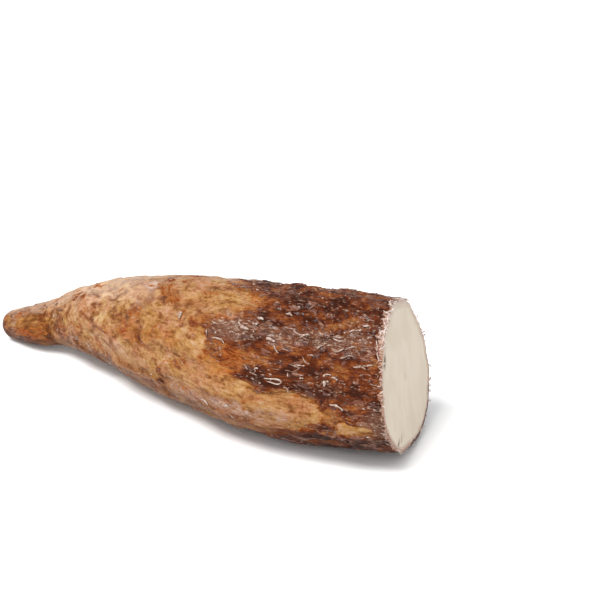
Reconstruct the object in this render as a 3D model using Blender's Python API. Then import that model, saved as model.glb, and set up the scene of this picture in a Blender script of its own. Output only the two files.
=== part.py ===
"""The lower half of a cassava root, cut across its thick end and lying on its side.

Units are metres and +Z is up. +X runs along the root from the tip towards the cut face. The origin
lies on the surface that the root rests on, below the middle of its box. Sizes are given in
millimetres and turned into metres as the mesh is made.
"""

import math

import bpy
import numpy as np
from mathutils import Vector, noise

MM = 0.001
UP = Vector((0.0, 0.0, 1.0))

# The axis of the root from the tip to the cut: x, y and z of the middle, then the radius.
STATIONS = (
    (-104.1, 7.6, 7.3, 7.1),
    (-89.1, 7.1, 11.7, 9.7),
    (-78.6, 10.1, 14.3, 10.9),
    (-64.6, 10.6, 18.6, 15.0),
    (-48.6, 8.6, 22.5, 18.9),
    (-23.6, 5.1, 26.1, 24.6),
    (5.9, 1.6, 28.6, 29.1),
    (34.4, -3.4, 30.9, 31.9),
    (59.4, -2.9, 31.7, 33.3),
    (80.4, 1.6, 32.6, 32.4),
    (102.9, 6.1, 33.2, 31.6),
)
TIP_DOME = 6.6                            # length of the blunt round end before the first station

# The knife cut: its face is a plane that leans back a little and turns away from straight across.
CUT_NORMAL = Vector((0.972, 0.180, 0.150)).normalized()
CUT_TURN = 45.0                           # stretch over which the sections turn into that plane

# Near the cut the section is a rounded triangle with one corner up.
LOBE_COUNT = 3
LOBE_DEPTH = 0.05                         # share of the radius
LOBE_ANGLE = math.radians(85.0)           # where one lobe peaks, from +Y towards +Z
LOBE_STRETCH = 110.0

# Relief of the bark: height, then the length along the root and across it that one feature takes.
SWELLS = (1.5, 46.0, 24.0)
RIDGES = (1.4, 34.0, 7.5)
PLATES = (0.9, 24.0, 14.0)
WRINKLES = (0.9, 6.0, 30.0)
PLATE_EDGE = (-0.04, 0.10)                # the noise values between which a plate's edge rises
WRINKLED_RADIUS = (12.0, 26.0)            # cross wrinkles fade as the root grows thicker
FULL_RELIEF_RADIUS = 22.0                 # relief is lower in step where the root is thinner
REST_BAND = 4.0                           # relief dies out this close to the surface it rests on

# Peel and flesh on the cut: inset from the rim, and depth below the plane of the cut.
CUT_RINGS = (
    (0.9, 0.0),
    (2.0, 0.0),
    (2.6, 0.25),
    (12.0, 0.1),
    (22.0, 0.1),
)
PEEL_RINGS = 2                            # the first of those rings that still belong to the peel

BODY_RINGS = 84
DOME_RINGS = 6
RING_POINTS = 60


def smoothstep(low: float, high: float, value: float) -> float:
    """Return 0 below low and 1 above high, with a smooth rise between them."""
    share = min(max((value - low) / (high - low), 0.0), 1.0)
    return share * share * (3.0 - 2.0 * share)


class Axis:
    """The smooth curve through the stations, measured by the distance from the first one."""

    def __init__(self, stations: tuple) -> None:
        """Measure the distance of each station along the axis and the slopes between them."""
        self.values = np.array(stations)
        steps = np.linalg.norm(np.diff(self.values[:, :3], axis=0), axis=1)
        self.knots = np.concatenate(([0.0], np.cumsum(steps)))
        self.slopes = np.gradient(self.values, self.knots, axis=0)
        self.length = float(self.knots[-1])

    def at(self, distance: float) -> tuple[Vector, float, Vector]:
        """Return the middle, the radius and the direction at a distance, also before the start."""
        if distance < 0.0:
            value = self.values[0] + self.slopes[0] * distance
            return Vector(value[:3]), float(value[3]), Vector(self.slopes[0][:3]).normalized()
        index = min(int(np.searchsorted(self.knots, distance, side="right")) - 1, len(self.knots) - 2)
        span = self.knots[index + 1] - self.knots[index]
        share = (distance - self.knots[index]) / span
        start, end = self.values[index], self.values[index + 1]
        leave, arrive = self.slopes[index] * span, self.slopes[index + 1] * span
        square, cube = share * share, share ** 3
        value = (
            (2 * cube - 3 * square + 1) * start + (cube - 2 * square + share) * leave
            + (3 * square - 2 * cube) * end + (cube - square) * arrive
        )
        slope = (
            6 * (square - share) * (start - end)
            + (3 * square - 4 * share + 1) * leave + (3 * square - 2 * share) * arrive
        )
        return Vector(value[:3]), float(value[3]), Vector(slope[:3]).normalized()


def layer(kind: tuple, along: float, side: float, rise: float, seed: float) -> float:
    """Return smooth noise between about -1 and 1, stretched along the root."""
    length, width = kind[1], kind[2]
    return noise.noise(Vector((along / length + seed, side / width, rise / width)))


def relief(along: float, side: float, rise: float, radius: float) -> float:
    """Return how far the bark stands above the smooth root at one point.

    Args:
        along: distance along the axis.
        side: offset from the axis towards +Y.
        rise: offset from the axis towards +Z.
        radius: the root's radius there.
    """
    strength = min(radius / FULL_RELIEF_RADIUS, 1.0)
    height = SWELLS[0] * layer(SWELLS, along, side, rise, 3.1)
    height += RIDGES[0] * layer(RIDGES, along, side, rise, 11.7)
    height += PLATES[0] * (smoothstep(*PLATE_EDGE, layer(PLATES, along, side, rise, 21.3)) - 0.5)
    wrinkled = 1.0 - smoothstep(*WRINKLED_RADIUS, radius)
    height += WRINKLES[0] * wrinkled * layer(WRINKLES, along, side, rise, 5.9)
    return height * strength


def surface_ring(axis: Axis, distance: float) -> list[Vector]:
    """Return the points of one section of the bark, in millimetres.

    Args:
        axis: the axis of the root.
        distance: where the section lies along it; negative values are in the rounded tip.
    """
    middle, radius, direction = axis.at(distance)
    if distance < 0.0:
        radius *= math.sqrt(max(1.0 - (distance / TIP_DOME) ** 2, 0.0))
    turn = smoothstep(axis.length - CUT_TURN, axis.length, distance)
    facing = direction.lerp(CUT_NORMAL, turn).normalized()
    sideways = UP.cross(facing).normalized()
    upwards = facing.cross(sideways)
    lobe = LOBE_DEPTH * smoothstep(axis.length - LOBE_STRETCH, axis.length, distance)
    points = []
    for index in range(RING_POINTS):
        angle = math.tau * index / RING_POINTS
        reach = radius * (1.0 + lobe * math.cos(LOBE_COUNT * (angle - LOBE_ANGLE)))
        outwards = sideways * math.cos(angle) + upwards * math.sin(angle)
        smooth = middle + outwards * reach
        bark = relief(distance, reach * math.cos(angle), reach * math.sin(angle), radius)
        bark *= smoothstep(0.0, REST_BAND, smooth.z)
        point = smooth + outwards * bark
        point.z = max(point.z, 0.0)
        points.append(point)
    return points


def ring_distances(axis: Axis) -> list[float]:
    """Return where the sections lie: closer together round the tip, then evenly to the cut."""
    dome = [-TIP_DOME * math.cos(0.5 * math.pi * (index + 1) / (DOME_RINGS + 1)) for index in range(DOME_RINGS)]
    body = [axis.length * index / BODY_RINGS for index in range(BODY_RINGS + 1)]
    return dome + body


def cut_rings(rim: list[Vector]) -> list[list[Vector]]:
    """Return the rings of the cut face, each set in from the rim towards its middle."""
    middle = sum(rim, Vector()) / len(rim)
    rings = []
    for inset, depth in CUT_RINGS:
        ring = []
        for point in rim:
            spoke = middle - point
            ring.append(point + spoke * (inset / spoke.length) - CUT_NORMAL * depth)
        rings.append(ring)
    return rings


def root_mesh() -> bpy.types.Mesh:
    """Build the closed mesh of the root, with the bark as its first material and the flesh second."""
    axis = Axis(STATIONS)
    rings = [surface_ring(axis, distance) for distance in ring_distances(axis)]
    bark_rings = len(rings) + PEEL_RINGS
    rings += cut_rings(rings[-1])
    tip = axis.at(-TIP_DOME)[0]
    heart = sum(rings[-1], Vector()) / RING_POINTS

    points = [tip] + [point for ring in rings for point in ring] + [heart]
    faces, flesh = [], []
    for place in range(RING_POINTS):
        following = (place + 1) % RING_POINTS
        faces.append((0, 1 + following, 1 + place))
        flesh.append(False)
        for ring in range(len(rings) - 1):
            base = 1 + ring * RING_POINTS
            ahead = base + RING_POINTS
            faces.append((base + place, base + following, ahead + following, ahead + place))
            flesh.append(ring >= bark_rings - 1)
        last = 1 + (len(rings) - 1) * RING_POINTS
        faces.append((last + place, last + following, len(points) - 1))
        flesh.append(True)

    mesh = bpy.data.meshes.new("cassava_root")
    mesh.from_pydata([point * MM for point in points], [], faces)
    mesh.polygons.foreach_set("material_index", [int(value) for value in flesh])
    mesh.shade_smooth()
    mesh.set_sharp_from_angle(angle=math.radians(40.0))
    return mesh


def material(name: str, colour: tuple[float, float, float], roughness: float) -> bpy.types.Material:
    """Return a plain Principled material."""
    finish = bpy.data.materials.new(name)
    finish.use_nodes = True
    shader = finish.node_tree.nodes["Principled BSDF"]
    shader.inputs["Base Color"].default_value = (*colour, 1.0)
    shader.inputs["Roughness"].default_value = roughness
    shader.inputs["Metallic"].default_value = 0.0
    return finish


def main() -> None:
    """Build the root in an empty scene."""
    for old in list(bpy.data.objects):
        bpy.data.objects.remove(old)
    mesh = root_mesh()
    mesh.materials.append(material("bark", (0.27, 0.13, 0.055), 0.55))
    mesh.materials.append(material("flesh", (0.82, 0.78, 0.66), 0.5))
    bpy.context.scene.collection.objects.link(bpy.data.objects.new("cassava_root", mesh))


main()
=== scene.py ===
"""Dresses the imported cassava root: bark, peel, cut flesh, loose flakes, and a plain studio round it.

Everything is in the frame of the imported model, with +X from the tip to the cut face and +Z up. Lengths are
in millimetres and angles in degrees unless a docstring says otherwise, and the meshes are in metres. A
distance along the root is counted from the first station of its axis, and an angle round it from +Y
towards +Z. The grain of a point is its distance along the root and its two offsets from the axis.
"""

import logging
import math
import random
from abc import ABC, abstractmethod
from dataclasses import dataclass, replace
from enum import Enum, IntEnum
from typing import Iterable, Iterator, Sequence

import bpy
import numpy as np
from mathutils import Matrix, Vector, noise


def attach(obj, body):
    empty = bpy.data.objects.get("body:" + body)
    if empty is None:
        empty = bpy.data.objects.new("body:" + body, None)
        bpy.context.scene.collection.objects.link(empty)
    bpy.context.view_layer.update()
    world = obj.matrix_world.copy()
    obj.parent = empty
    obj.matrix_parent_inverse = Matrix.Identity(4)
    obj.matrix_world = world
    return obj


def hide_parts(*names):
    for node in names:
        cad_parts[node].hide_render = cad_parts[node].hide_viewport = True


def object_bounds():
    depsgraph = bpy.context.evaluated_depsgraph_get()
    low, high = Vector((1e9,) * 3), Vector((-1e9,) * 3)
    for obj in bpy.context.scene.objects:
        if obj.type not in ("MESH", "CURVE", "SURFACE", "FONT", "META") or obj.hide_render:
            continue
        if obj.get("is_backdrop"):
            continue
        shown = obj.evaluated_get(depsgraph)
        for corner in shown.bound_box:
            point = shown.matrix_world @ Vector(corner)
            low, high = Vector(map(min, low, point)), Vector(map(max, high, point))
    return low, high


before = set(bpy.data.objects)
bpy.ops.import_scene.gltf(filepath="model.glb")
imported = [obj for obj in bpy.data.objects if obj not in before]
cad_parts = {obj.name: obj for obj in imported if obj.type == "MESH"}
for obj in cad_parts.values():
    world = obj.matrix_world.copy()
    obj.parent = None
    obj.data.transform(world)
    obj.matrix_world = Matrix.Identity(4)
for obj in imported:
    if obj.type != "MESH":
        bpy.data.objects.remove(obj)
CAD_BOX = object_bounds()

LOG = logging.getLogger("cassava")
NODE = "cassava_root"
BODY = "root"
BAKE_MAP = "OFBake"
MM = 0.001
LIGHT_LEVEL = 1.58  # how much light the studio throws on the root, against a white that is just full
UP = Vector((0.0, 0.0, 1.0))

Colour = tuple[float, float, float]
Triple = tuple[float, float, float]
Pair = tuple[float, float]
Stops = tuple[tuple[float, Colour], ...]
Socket = bpy.types.NodeSocket
Value = Socket | float | Triple
Values = dict[Enum, list]


def smoothstep(low: float, high: float, value: float) -> float:
    """Ease a value from 0, at low and below it, to 1, at high and above it."""
    share = min(max((value - low) / (high - low), 0.0), 1.0)
    return share * share * (3.0 - 2.0 * share)


def paint(red: int, green: int, blue: int) -> Colour:
    """Find the linear colour of a surface that looks a given way, 0 to 255, under the studio's light."""
    parts = (((value / 255.0 + 0.055) / 1.055) ** 2.4 for value in (red, green, blue))
    return tuple(part / LIGHT_LEVEL for part in parts)


class Skin(IntEnum):
    """The materials of the root's one mesh, in the order of its slots."""

    BARK = 0
    PEEL = 1
    FLESH = 2


class Tone(Enum):
    """What a patch on the bark adds to."""

    OUTER = "outer"
    SPOT = "spot"
    OCHRE = "ochre"
    BLOOM = "bloom"


class Trace(Enum):
    """What the root's mesh stores at each point beside the tones."""

    GRAIN = "grain"
    PLATE = "plate"
    BARE = "bare"
    INSET = "inset"
    CORE = "core"
    EDGE = "edge"
    SLIT = "slit"


class Mark(Enum):
    """What the meshes of the scraps store at each point beside the grain."""

    SHADE = "shade"
    RIM = "rim"


@dataclass(frozen=True)
class Patch:
    """A patch of one tone on the bark.

    Attributes:
        tone: what it adds to.
        along: the distance of its middle along the root.
        angle: its angle round the root.
        length: half of its length along the root.
        width: half of its width round the root.
        strength: what it adds in its middle; a negative one takes away.
    """

    tone: Tone
    along: float
    angle: float
    length: float
    width: float
    strength: float


@dataclass(frozen=True)
class Layer:
    """A layer of smooth noise, stretched along the root.

    Attributes:
        height: how much it adds.
        length: how long one feature is along the root.
        width: how wide one feature is across it.
        seed: where in the noise it is read.
        bare: the share of its height that it keeps where the outer bark is gone.
    """

    height: float
    length: float
    width: float
    seed: float
    bare: float = 1.0

    def at(self, grain: Triple) -> float:
        """Read the layer at the grain of one point, from about -1 to 1 and without its height."""
        along, side, rise = grain
        return noise.noise(Vector((along / self.length + self.seed, side / self.width, rise / self.width)))

    def lift(self, grain: Triple, share: float = 1.0) -> float:
        """Give what the layer adds at one point, where a share of its height is left."""
        return self.height * share * self.at(grain)


@dataclass(frozen=True)
class Slit:
    """A dark slit or a small crack in the cut face.

    Attributes:
        angle: the angle of its middle.
        width: half of its width, in degrees.
        inset: how far its middle lies inside the rim.
        length: half of its length towards the middle of the face.
        depth: how deep it is.
    """

    angle: float
    width: float
    inset: float
    length: float
    depth: float

    def at(self, degrees: float, inset: float) -> float:
        """Give how much of the slit is at one point of the cut face: 1 in its middle and 0 well outside."""
        aside, inwards = (degrees - self.angle) / self.width, (inset - self.inset) / self.length
        return math.exp(-aside ** 4 - inwards ** 4)


@dataclass(frozen=True)
class RimStretch:
    """A stretch of the cut's rim, with something that is greatest in its middle.

    Attributes:
        angle: the angle of its middle.
        spread: how far it spreads to each side, in degrees.
        most: its value in the middle.
    """

    angle: float
    spread: float
    most: float

    def at(self, degrees: float) -> float:
        """Give its value at one angle."""
        return self.most * math.exp(-((degrees - self.angle) / self.spread) ** 2)


@dataclass(frozen=True)
class Section:
    """One section across the root.

    Attributes:
        along: its distance along the root.
        middle: its middle.
        radius: its radius.
        sideways: its direction towards +Y.
        upwards: its direction towards +Z.
        lobe: the share of the radius by which it swells and dips.
        patches: the patches that reach it.
    """

    along: float
    middle: Vector
    radius: float
    sideways: Vector
    upwards: Vector
    lobe: float
    patches: tuple[Patch, ...]


@dataclass(frozen=True)
class Sample:
    """One point of the bark.

    Attributes:
        place: where it is.
        grain: its grain.
        tones: the value of each tone there.
        plate: the shade of the papery plate that it is on, from -1 to 1.
        bare: how far it lies inside the chipped edge of the bark at the cut.
    """

    place: Vector
    grain: Triple
    tones: dict[Tone, float]
    plate: float
    bare: float


# The axis of the root from the tip to the cut: x, y and z of the middle, then the radius.
STATIONS = (
    (-104.1, 7.6, 7.3, 7.1),
    (-89.1, 7.1, 11.7, 9.7),
    (-78.6, 10.1, 14.3, 10.9),
    (-64.6, 10.6, 18.6, 15.0),
    (-48.6, 8.6, 22.5, 18.9),
    (-23.6, 5.1, 26.1, 24.6),
    (5.9, 1.6, 28.6, 29.1),
    (34.4, -3.4, 30.9, 31.9),
    (59.4, -2.9, 31.7, 33.3),
    (80.4, 1.6, 32.6, 32.4),
    (102.9, 6.1, 33.2, 31.6),
)

# Where the dark outer bark begins along the root, by the angle round it.
BARK_EDGE = (
    (0, 150.0),
    (30, 140.0),
    (60, 136.0),
    (85, 140.0),
    (97, 144.0),
    (104, 154.0),
    (112, 158.0),
    (120, 153.0),
    (126, 151.0),
    (133, 147.0),
    (140, 145.0),
    (146, 149.0),
    (151, 154.0),
    (158, 156.0),
    (166, 156.0),
    (170, 158.0),
    (172, 168.0),
    (174, 181.0),
    (178, 185.0),
    (183, 188.0),
    (189, 191.0),
    (193, 195.0),
    (196, 206.0),
    (200, 208.0),
    (202, 202.0),
    (204, 182.0),
    (206, 175.0),
    (210, 170.0),
    (218, 165.0),
    # From here to 305 degrees, underneath, the outer bark begins early; its dark colour there is real bark
    # and also painted shade under the root.
    (232, 158.0),
    (245, 132.0),
    (260, 98.0),
    (275, 80.0),
    (290, 92.0),
    (305, 120.0),
    (325, 148.0),
    (360, 150.0),
)
EDGE_ANGLES = [angle for angle, _ in BARK_EDGE]
EDGE_PLACES = [place for _, place in BARK_EDGE]

# The patches of the bark, most of them as the picture shows them, the rest on the sides that it hides.
PATCH_TABLE = {
    Tone.OUTER: (
        (199.5, 201, 8, 3, -0.9),
        (163.5, 175, 5, 3, 0.8),
        (178, 211, 13, 4.5, 0.5),
        (185.5, 198.0, 6.4, 3.2, 1.1),
        (137, 132, 8, 9, 0.3),
        (144, 151, 4.5, 3.6, 1.0),
        (141, 142, 4, 2.5, 0.6),
        (162, 167, 6, 3.5, 0.5),
        (170, 172, 9, 2.5, 0.5),
        (188, 176, 8, 3, 0.6),
        (209, 187, 4, 8, 0.6),
        (60, 20, 12, 8, 0.7),
        (95, 330, 14, 10, 0.8),
        (80, 40, 9, 6, 0.7),
        (143, 126, 6, 7, -0.22),
        (180, 20, 16, 9, -0.9),
        (150, 320, 12, 8, -0.8),
        (172, 75, 9, 5, -0.6),
    ),
    Tone.SPOT: (
        (-3, 170, 5, 9, 0.8),
        (8, 205, 8, 4, 0.7),
        (15, 196, 9, 5.5, 0.55),
        (60, 206, 26, 9, 0.35),
        (112, 203, 32, 9, 0.4),
        (152, 199, 20, 6, 0.35),
        (185.5, 198.3, 5.6, 2.9, 1.3),
        (133, 134, 7, 6, 0.4),
        (9, 130, 7, 3, 0.5),
        (21.5, 158, 2.5, 5, 0.9),
        (23, 172, 3, 9, 0.35),
        (24, 205, 4, 7, 0.45),
        # Painted shade: this spot darkens the hollow neck just behind the swell of the body.
        (36, 173, 4.5, 6.5, 1.1),
        (45, 150, 1.6, 4, 1.0),
        (50, 128, 4, 4, 0.4),
        (61, 156, 5, 1.4, 0.9),
        (66.5, 150, 2.5, 1.8, 0.8),
        (107, 119, 2.5, 4, 0.9),
        (84, 149, 6, 1.6, 1.0),
        (92, 143, 4, 4, 0.8),
        (88, 161, 6, 4, 0.5),
        (99, 158, 2.5, 5, 1.0),
        (100.5, 165, 1.8, 4, 0.9),
        (96, 122, 3, 8, 0.7),
        (110, 118, 6, 3, 0.6),
        (122, 122, 8, 3, 0.5),
        (104, 122, 5, 2, 0.7),
        (108, 139, 2, 1.4, 1.0),
        (113, 191, 2, 1.4, 1.9),
        (112, 199, 2, 1.8, 1.9),
        (139, 142, 2.5, 1.8, 1.3),
        (72, 108, 22, 12, -0.5),
        (58, 265, 5, 3, 0.7),
        (88, 40, 4, 4, 0.8),
        (35, 60, 3, 4, 0.7),
        (50, 330, 6, 3, 0.8),
    ),
    Tone.OCHRE: (
        (12, 178, 6, 8, 0.7),
        (96, 163, 10, 5, 0.9),
        (118, 156, 14, 5, 0.8),
        (148, 166, 10, 6, 1.0),
        (154, 154, 5, 3, 0.9),
        (125, 118, 14, 4, 0.6),
        (150, 119, 9, 3, 0.8),
        (168, 182, 16, 3, 0.6),
        (177, 209, 12, 4, 0.6),
        (128, 20, 18, 9, 0.7),
    ),
    Tone.BLOOM: (
        (91, 131, 3, 5, 0.6),
        (33, 134, 4, 5, 0.5),
        (6, 150, 4, 7, 0.5),
        # Painted light: the next row paints a pale reflection along the top edge of the tip, and the row
        # after it a highlight high on the slim end, each over thin wax.
        (15, 104, 16, 7, 0.5),
        (94, 107, 8, 5, 1.2),
        (46, 184, 5, 4, 0.7),
        (34, 178, 6, 8, 0.3),
        (70, 208, 22, 9, 0.35),
        (112, 208, 26, 8, 0.35),
        (120, 134, 2, 1.5, 1.0),
        # This row, the next three and the row at 201 mm lie where the lamps glance off the wax: wax bloom
        # with painted sheen.
        (146, 130, 8, 8, 0.4),
        (153, 133, 13, 7, 0.7),
        (176, 132, 13, 7, 0.7),
        (190, 137, 9, 4, 0.6),
        (159.5, 143, 6, 4, -1.0),
        (181, 147, 10, 5, -0.9),
        (197, 150, 8, 5, -0.6),
        (173, 115, 12, 5, -0.8),
        (201, 128, 9, 9, 0.5),
        (208, 193, 6, 9, 0.85),
        (178, 211, 13, 5, -0.6),
        (150, 195, 12, 6, 0.9),
        (130, 200, 12, 5, 0.6),
        (167, 196, 10, 4, 0.7),
        (172, 40, 18, 10, 0.6),
        (120, 350, 12, 9, 0.6),
        (195, 300, 10, 14, 0.6),
    ),
}
PATCHES = [Patch(tone, *numbers) for tone, table in PATCH_TABLE.items() for numbers in table]

# The slit low on the near side of the cut face and the two small cracks beside it.
SLITS = (
    Slit(141.5, 6.0, 2.7, 0.9, 0.35),
    Slit(227.5, 1.4, 3.2, 1.5, 0.5),
    Slit(233.0, 1.2, 5.4, 1.3, 0.4),
)


@dataclass
class RootForm:
    """The form of the root, as its source makes it, with the finer relief of its bark.

    Each layer is named for the unevenness that it adds; two of them make the edge of the outer bark ragged
    and torn. A pair is where something starts and where it is all there, unless its line says otherwise.

    Attributes:
        tip_dome: how far the rounded tip reaches past the first station.
        cut_normal: which way the cut faces.
        cut_turn: the stretch before it in which the sections turn to face it.
        lobe_count: the number of lobes of the thick end.
        lobe_depth: how far they swell and dip, in shares of the radius.
        lobe_angle: the top of one lobe.
        lobe_stretch: the stretch before the cut in which they rise.
        plate_edge: the noise at the edges of the raised plates.
        wrinkled_radius: the radii between which the cross wrinkles fade.
        full_relief_radius: the radius from which the relief has its full height.
        rest_band: the height above the floor in which the relief comes in.
        bark_step: how far the outer bark stands above the under-bark.
        bark_lip: the outer tones at that step.
        bark_blend: how far past its edge the outer tone has risen by 1.
        bark_range: the least and the most of it, before the noise and the patches.
        patch_fade: how a patch fades, in shares of its half sizes.
        warp: what bends the outlines of the patches.
        warp_shift: how far apart the two readings of it lie.
        spot_depth: how deep a brown spot of the strength 1 lies.
        papery_size: the length and the width of a papery plate.
        papery_rise: how much higher the highest one stands than the lowest.
        papery_bare: the share of that which is left where the outer bark is gone.
        papery_lean: which way the plates tilt.
        papery_tilt: how much they tilt.
        papery_gap: how wide the seams between them are, in shares of a plate.
        papery_seam: how deep the seams are.
        papery_drift: how far the plates drift, and how finely.
        papery_key: what turns the place of a plate into its shade.
        papery_seed: what fixes where the drift is read.
        chips: what makes the chipped edge of the bark wander.
        chip_bias: what it is raised by.
        chip_reach: the least and the most of how far from the cut bark has chipped off.
        chip_depth: how deep the chipped edge lies.
        chip_lip: the distances from the edge at which it drops.
        most_chipped: the stretch of the rim where most has chipped off.
        most_chipped_least: the share of it that is there in any case.
        least_chipped: the stretch of the rim where the bark is whole.
        rim_calm: the share of the broad relief that is left out at the cut.
        rim_calm_stretch: the distances from the cut between which it fades.
        rim_swell: how far the rim leans out over the plain cut at most.
        rim_flat: the angle at which it doesn't.
        rim_stretch: the stretch before the cut that leans.
    """

    stations: tuple[tuple[float, ...], ...] = STATIONS
    tip_dome: float = 6.6
    cut_normal: Triple = (0.972, 0.180, 0.150)
    cut_turn: float = 45.0
    lobe_count: int = 3
    lobe_depth: float = 0.05
    lobe_angle: float = 85.0
    lobe_stretch: float = 110.0
    swells: Layer = Layer(1.5, 46.0, 24.0, 3.1)
    ridges: Layer = Layer(1.4, 34.0, 7.5, 11.7)
    plates: Layer = Layer(0.9, 24.0, 14.0, 21.3)
    plate_edge: Pair = (-0.04, 0.10)
    wrinkles: Layer = Layer(0.9, 6.0, 30.0, 5.9)
    wrinkled_radius: Pair = (12.0, 26.0)
    full_relief_radius: float = 22.0
    rest_band: float = 4.0
    bark_step: float = 0.45
    bark_lip: Pair = (-0.05, 0.06)
    bark_blend: float = 14.0
    bark_range: Pair = (-0.75, 0.48)
    ragged: Layer = Layer(0.75, 13.0, 6.0, 31.4)
    torn: Layer = Layer(0.35, 4.6, 2.2, 47.9)
    patch_fade: Pair = (0.3, 1.5)
    warp: Layer = Layer(3.2, 9.0, 6.0, 95.1)
    warp_shift: float = 40.0
    crumple: Layer = Layer(0.42, 5.0, 2.3, 61.2, bare=0.25)
    pucker: Layer = Layer(0.24, 2.4, 1.3, 73.8, bare=0.3)
    dimples: Layer = Layer(0.22, 5.5, 3.4, 87.5)
    spot_depth: float = 0.25
    papery_size: Pair = (7.5, 3.4)
    papery_rise: float = 0.40
    papery_bare: float = 0.3
    papery_lean: Triple = (0.4, 0.9, 0.6)
    papery_tilt: float = 0.35
    papery_gap: float = 0.14
    papery_seam: float = 0.15
    papery_drift: Pair = (0.3, 1.7)
    papery_key: float = 31.7
    papery_seed: int = 5
    chips: Layer = Layer(1.0, 5.0, 4.0, 108.6)
    chip_bias: float = 0.5
    chip_reach: Pair = (0.1, 2.2)
    chip_depth: float = 0.45
    chip_lip: Pair = (-0.2, 0.3)
    most_chipped: RimStretch = RimStretch(136.0, 24.0, 2.4)
    most_chipped_least: float = 0.4
    least_chipped: RimStretch = RimStretch(298.0, 42.0, 1.6)
    rim_calm: float = 0.6
    rim_calm_stretch: Pair = (16.0, 3.0)
    rim_swell: float = 2.0
    rim_flat: float = 80.0
    rim_stretch: float = 14.0

    def __post_init__(self) -> None:
        """Measure the axis and the slopes along it, and fix where the vector noise is read."""
        noise.seed_set(self.papery_seed)
        self.values = np.array(self.stations)
        steps = np.linalg.norm(np.diff(self.values[:, :3], axis=0), axis=1)
        self.knots = np.concatenate(([0.0], np.cumsum(steps)))
        self.slopes = np.gradient(self.values, self.knots, axis=0)
        self.facing = Vector(self.cut_normal).normalized()

    @property
    def length(self) -> float:
        """The length of the axis from the first station to the cut."""
        return float(self.knots[-1])

    def strength(self, radius: float) -> float:
        """Give the share of its relief that the root has where it has one radius."""
        return min(radius / self.full_relief_radius, 1.0)

    def axis(self, along: float) -> tuple[Vector, float, Vector]:
        """Read the axis at one distance.

        Args:
            along: the distance along the root; negative ones lie in the rounded tip.

        Returns:
            The middle, the radius and the direction of the axis there.
        """
        if along < 0.0:
            value = self.values[0] + self.slopes[0] * along
            return Vector(value[:3]), float(value[3]), Vector(self.slopes[0][:3]).normalized()
        index = min(int(np.searchsorted(self.knots, along, side="right")) - 1, len(self.knots) - 2)
        span = self.knots[index + 1] - self.knots[index]
        share = (along - self.knots[index]) / span
        start, end = self.values[index], self.values[index + 1]
        leave, arrive = self.slopes[index] * span, self.slopes[index + 1] * span
        square, cube = share * share, share ** 3
        value = (
            (2 * cube - 3 * square + 1) * start + (cube - 2 * square + share) * leave
            + (3 * square - 2 * cube) * end + (cube - square) * arrive
        )
        slope = (
            6 * (square - share) * (start - end)
            + (3 * square - 4 * share + 1) * leave + (3 * square - 2 * share) * arrive
        )
        return Vector(value[:3]), float(value[3]), Vector(slope[:3]).normalized()

    def section(self, along: float) -> Section:
        """Lay out the section at one distance.

        Args:
            along: the distance along the root.

        Returns:
            The section, with the patches near enough to reach it.
        """
        middle, radius, direction = self.axis(along)
        if along < 0.0:
            radius *= math.sqrt(max(1.0 - (along / self.tip_dome) ** 2, 0.0))
        turn = smoothstep(self.length - self.cut_turn, self.length, along)
        facing = direction.lerp(self.facing, turn).normalized()
        sideways = UP.cross(facing).normalized()
        lobe = self.lobe_depth * smoothstep(self.length - self.lobe_stretch, self.length, along)
        fade, bend = self.patch_fade[1], self.warp.height
        near = tuple(patch for patch in PATCHES if abs(patch.along - along) < fade * patch.length + bend)
        return Section(along, middle, radius, sideways, facing.cross(sideways), lobe, near)

    def relief(self, grain: Triple, radius: float) -> float:
        """Give the broad relief that the source has too.

        Args:
            grain: the grain of the point.
            radius: the root's radius there.

        Returns:
            How far the bark stands above the smooth root.
        """
        height = self.swells.lift(grain) + self.ridges.lift(grain)
        height += self.plates.height * (smoothstep(*self.plate_edge, self.plates.at(grain)) - 0.5)
        height += self.wrinkles.lift(grain, 1.0 - smoothstep(*self.wrinkled_radius, radius))
        return height * self.strength(radius)

    def tones(self, section: Section, degrees: float, grain: Triple) -> dict[Tone, float]:
        """Give the tones of the bark at one point.

        Args:
            section: the section that the point is on.
            degrees: its angle round the root.
            grain: its grain.

        Returns:
            The value of each tone; the outer bark covers the root where its value is above zero.
        """
        along, side, rise = grain
        bend = self.warp.lift(grain)
        twist = self.warp.lift((side + self.warp_shift, rise, along))
        edge = float(np.interp(degrees % 360.0, EDGE_ANGLES, EDGE_PLACES))
        least, most = self.bark_range
        outer = min(max((along - edge) / self.bark_blend, least), most)
        outer += self.ragged.lift(grain)
        outer += self.torn.lift(grain)
        values = {Tone.OUTER: outer, Tone.SPOT: 0.0, Tone.OCHRE: 0.0, Tone.BLOOM: 0.0}
        fade, end = self.patch_fade
        for patch in section.patches:
            turn = (degrees - patch.angle + 180.0) % 360.0 - 180.0
            across = math.radians(turn) * max(section.radius, 1.0)
            far = math.hypot((along + bend - patch.along) / patch.length, (across + twist) / patch.width)
            if far < end:
                values[patch.tone] += patch.strength * (1.0 - smoothstep(fade, end, far))
        return values

    def papery(self, grain: Triple) -> Pair:
        """Give the papery plate of bark that a point is on.

        Args:
            grain: the grain of the point.

        Returns:
            The plate's shade from -1 to 1, and how far the plate stands up there.
        """
        along, side, rise = grain
        length, width = self.papery_size
        drift, fineness = self.papery_drift
        spot = Vector((along / length, side / width, rise / width))
        spot += drift * noise.noise_vector(spot * fineness)
        distances, middles = noise.voronoi(spot)
        shade = noise.cell(middles[0] * self.papery_key)
        tilt = (spot - middles[0]).dot(Vector(self.papery_lean)) * self.papery_tilt
        firm = smoothstep(0.0, self.papery_gap, distances[1] - distances[0])
        return shade, (0.5 * self.papery_rise * shade + tilt) * firm - self.papery_seam * (1.0 - firm)

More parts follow.
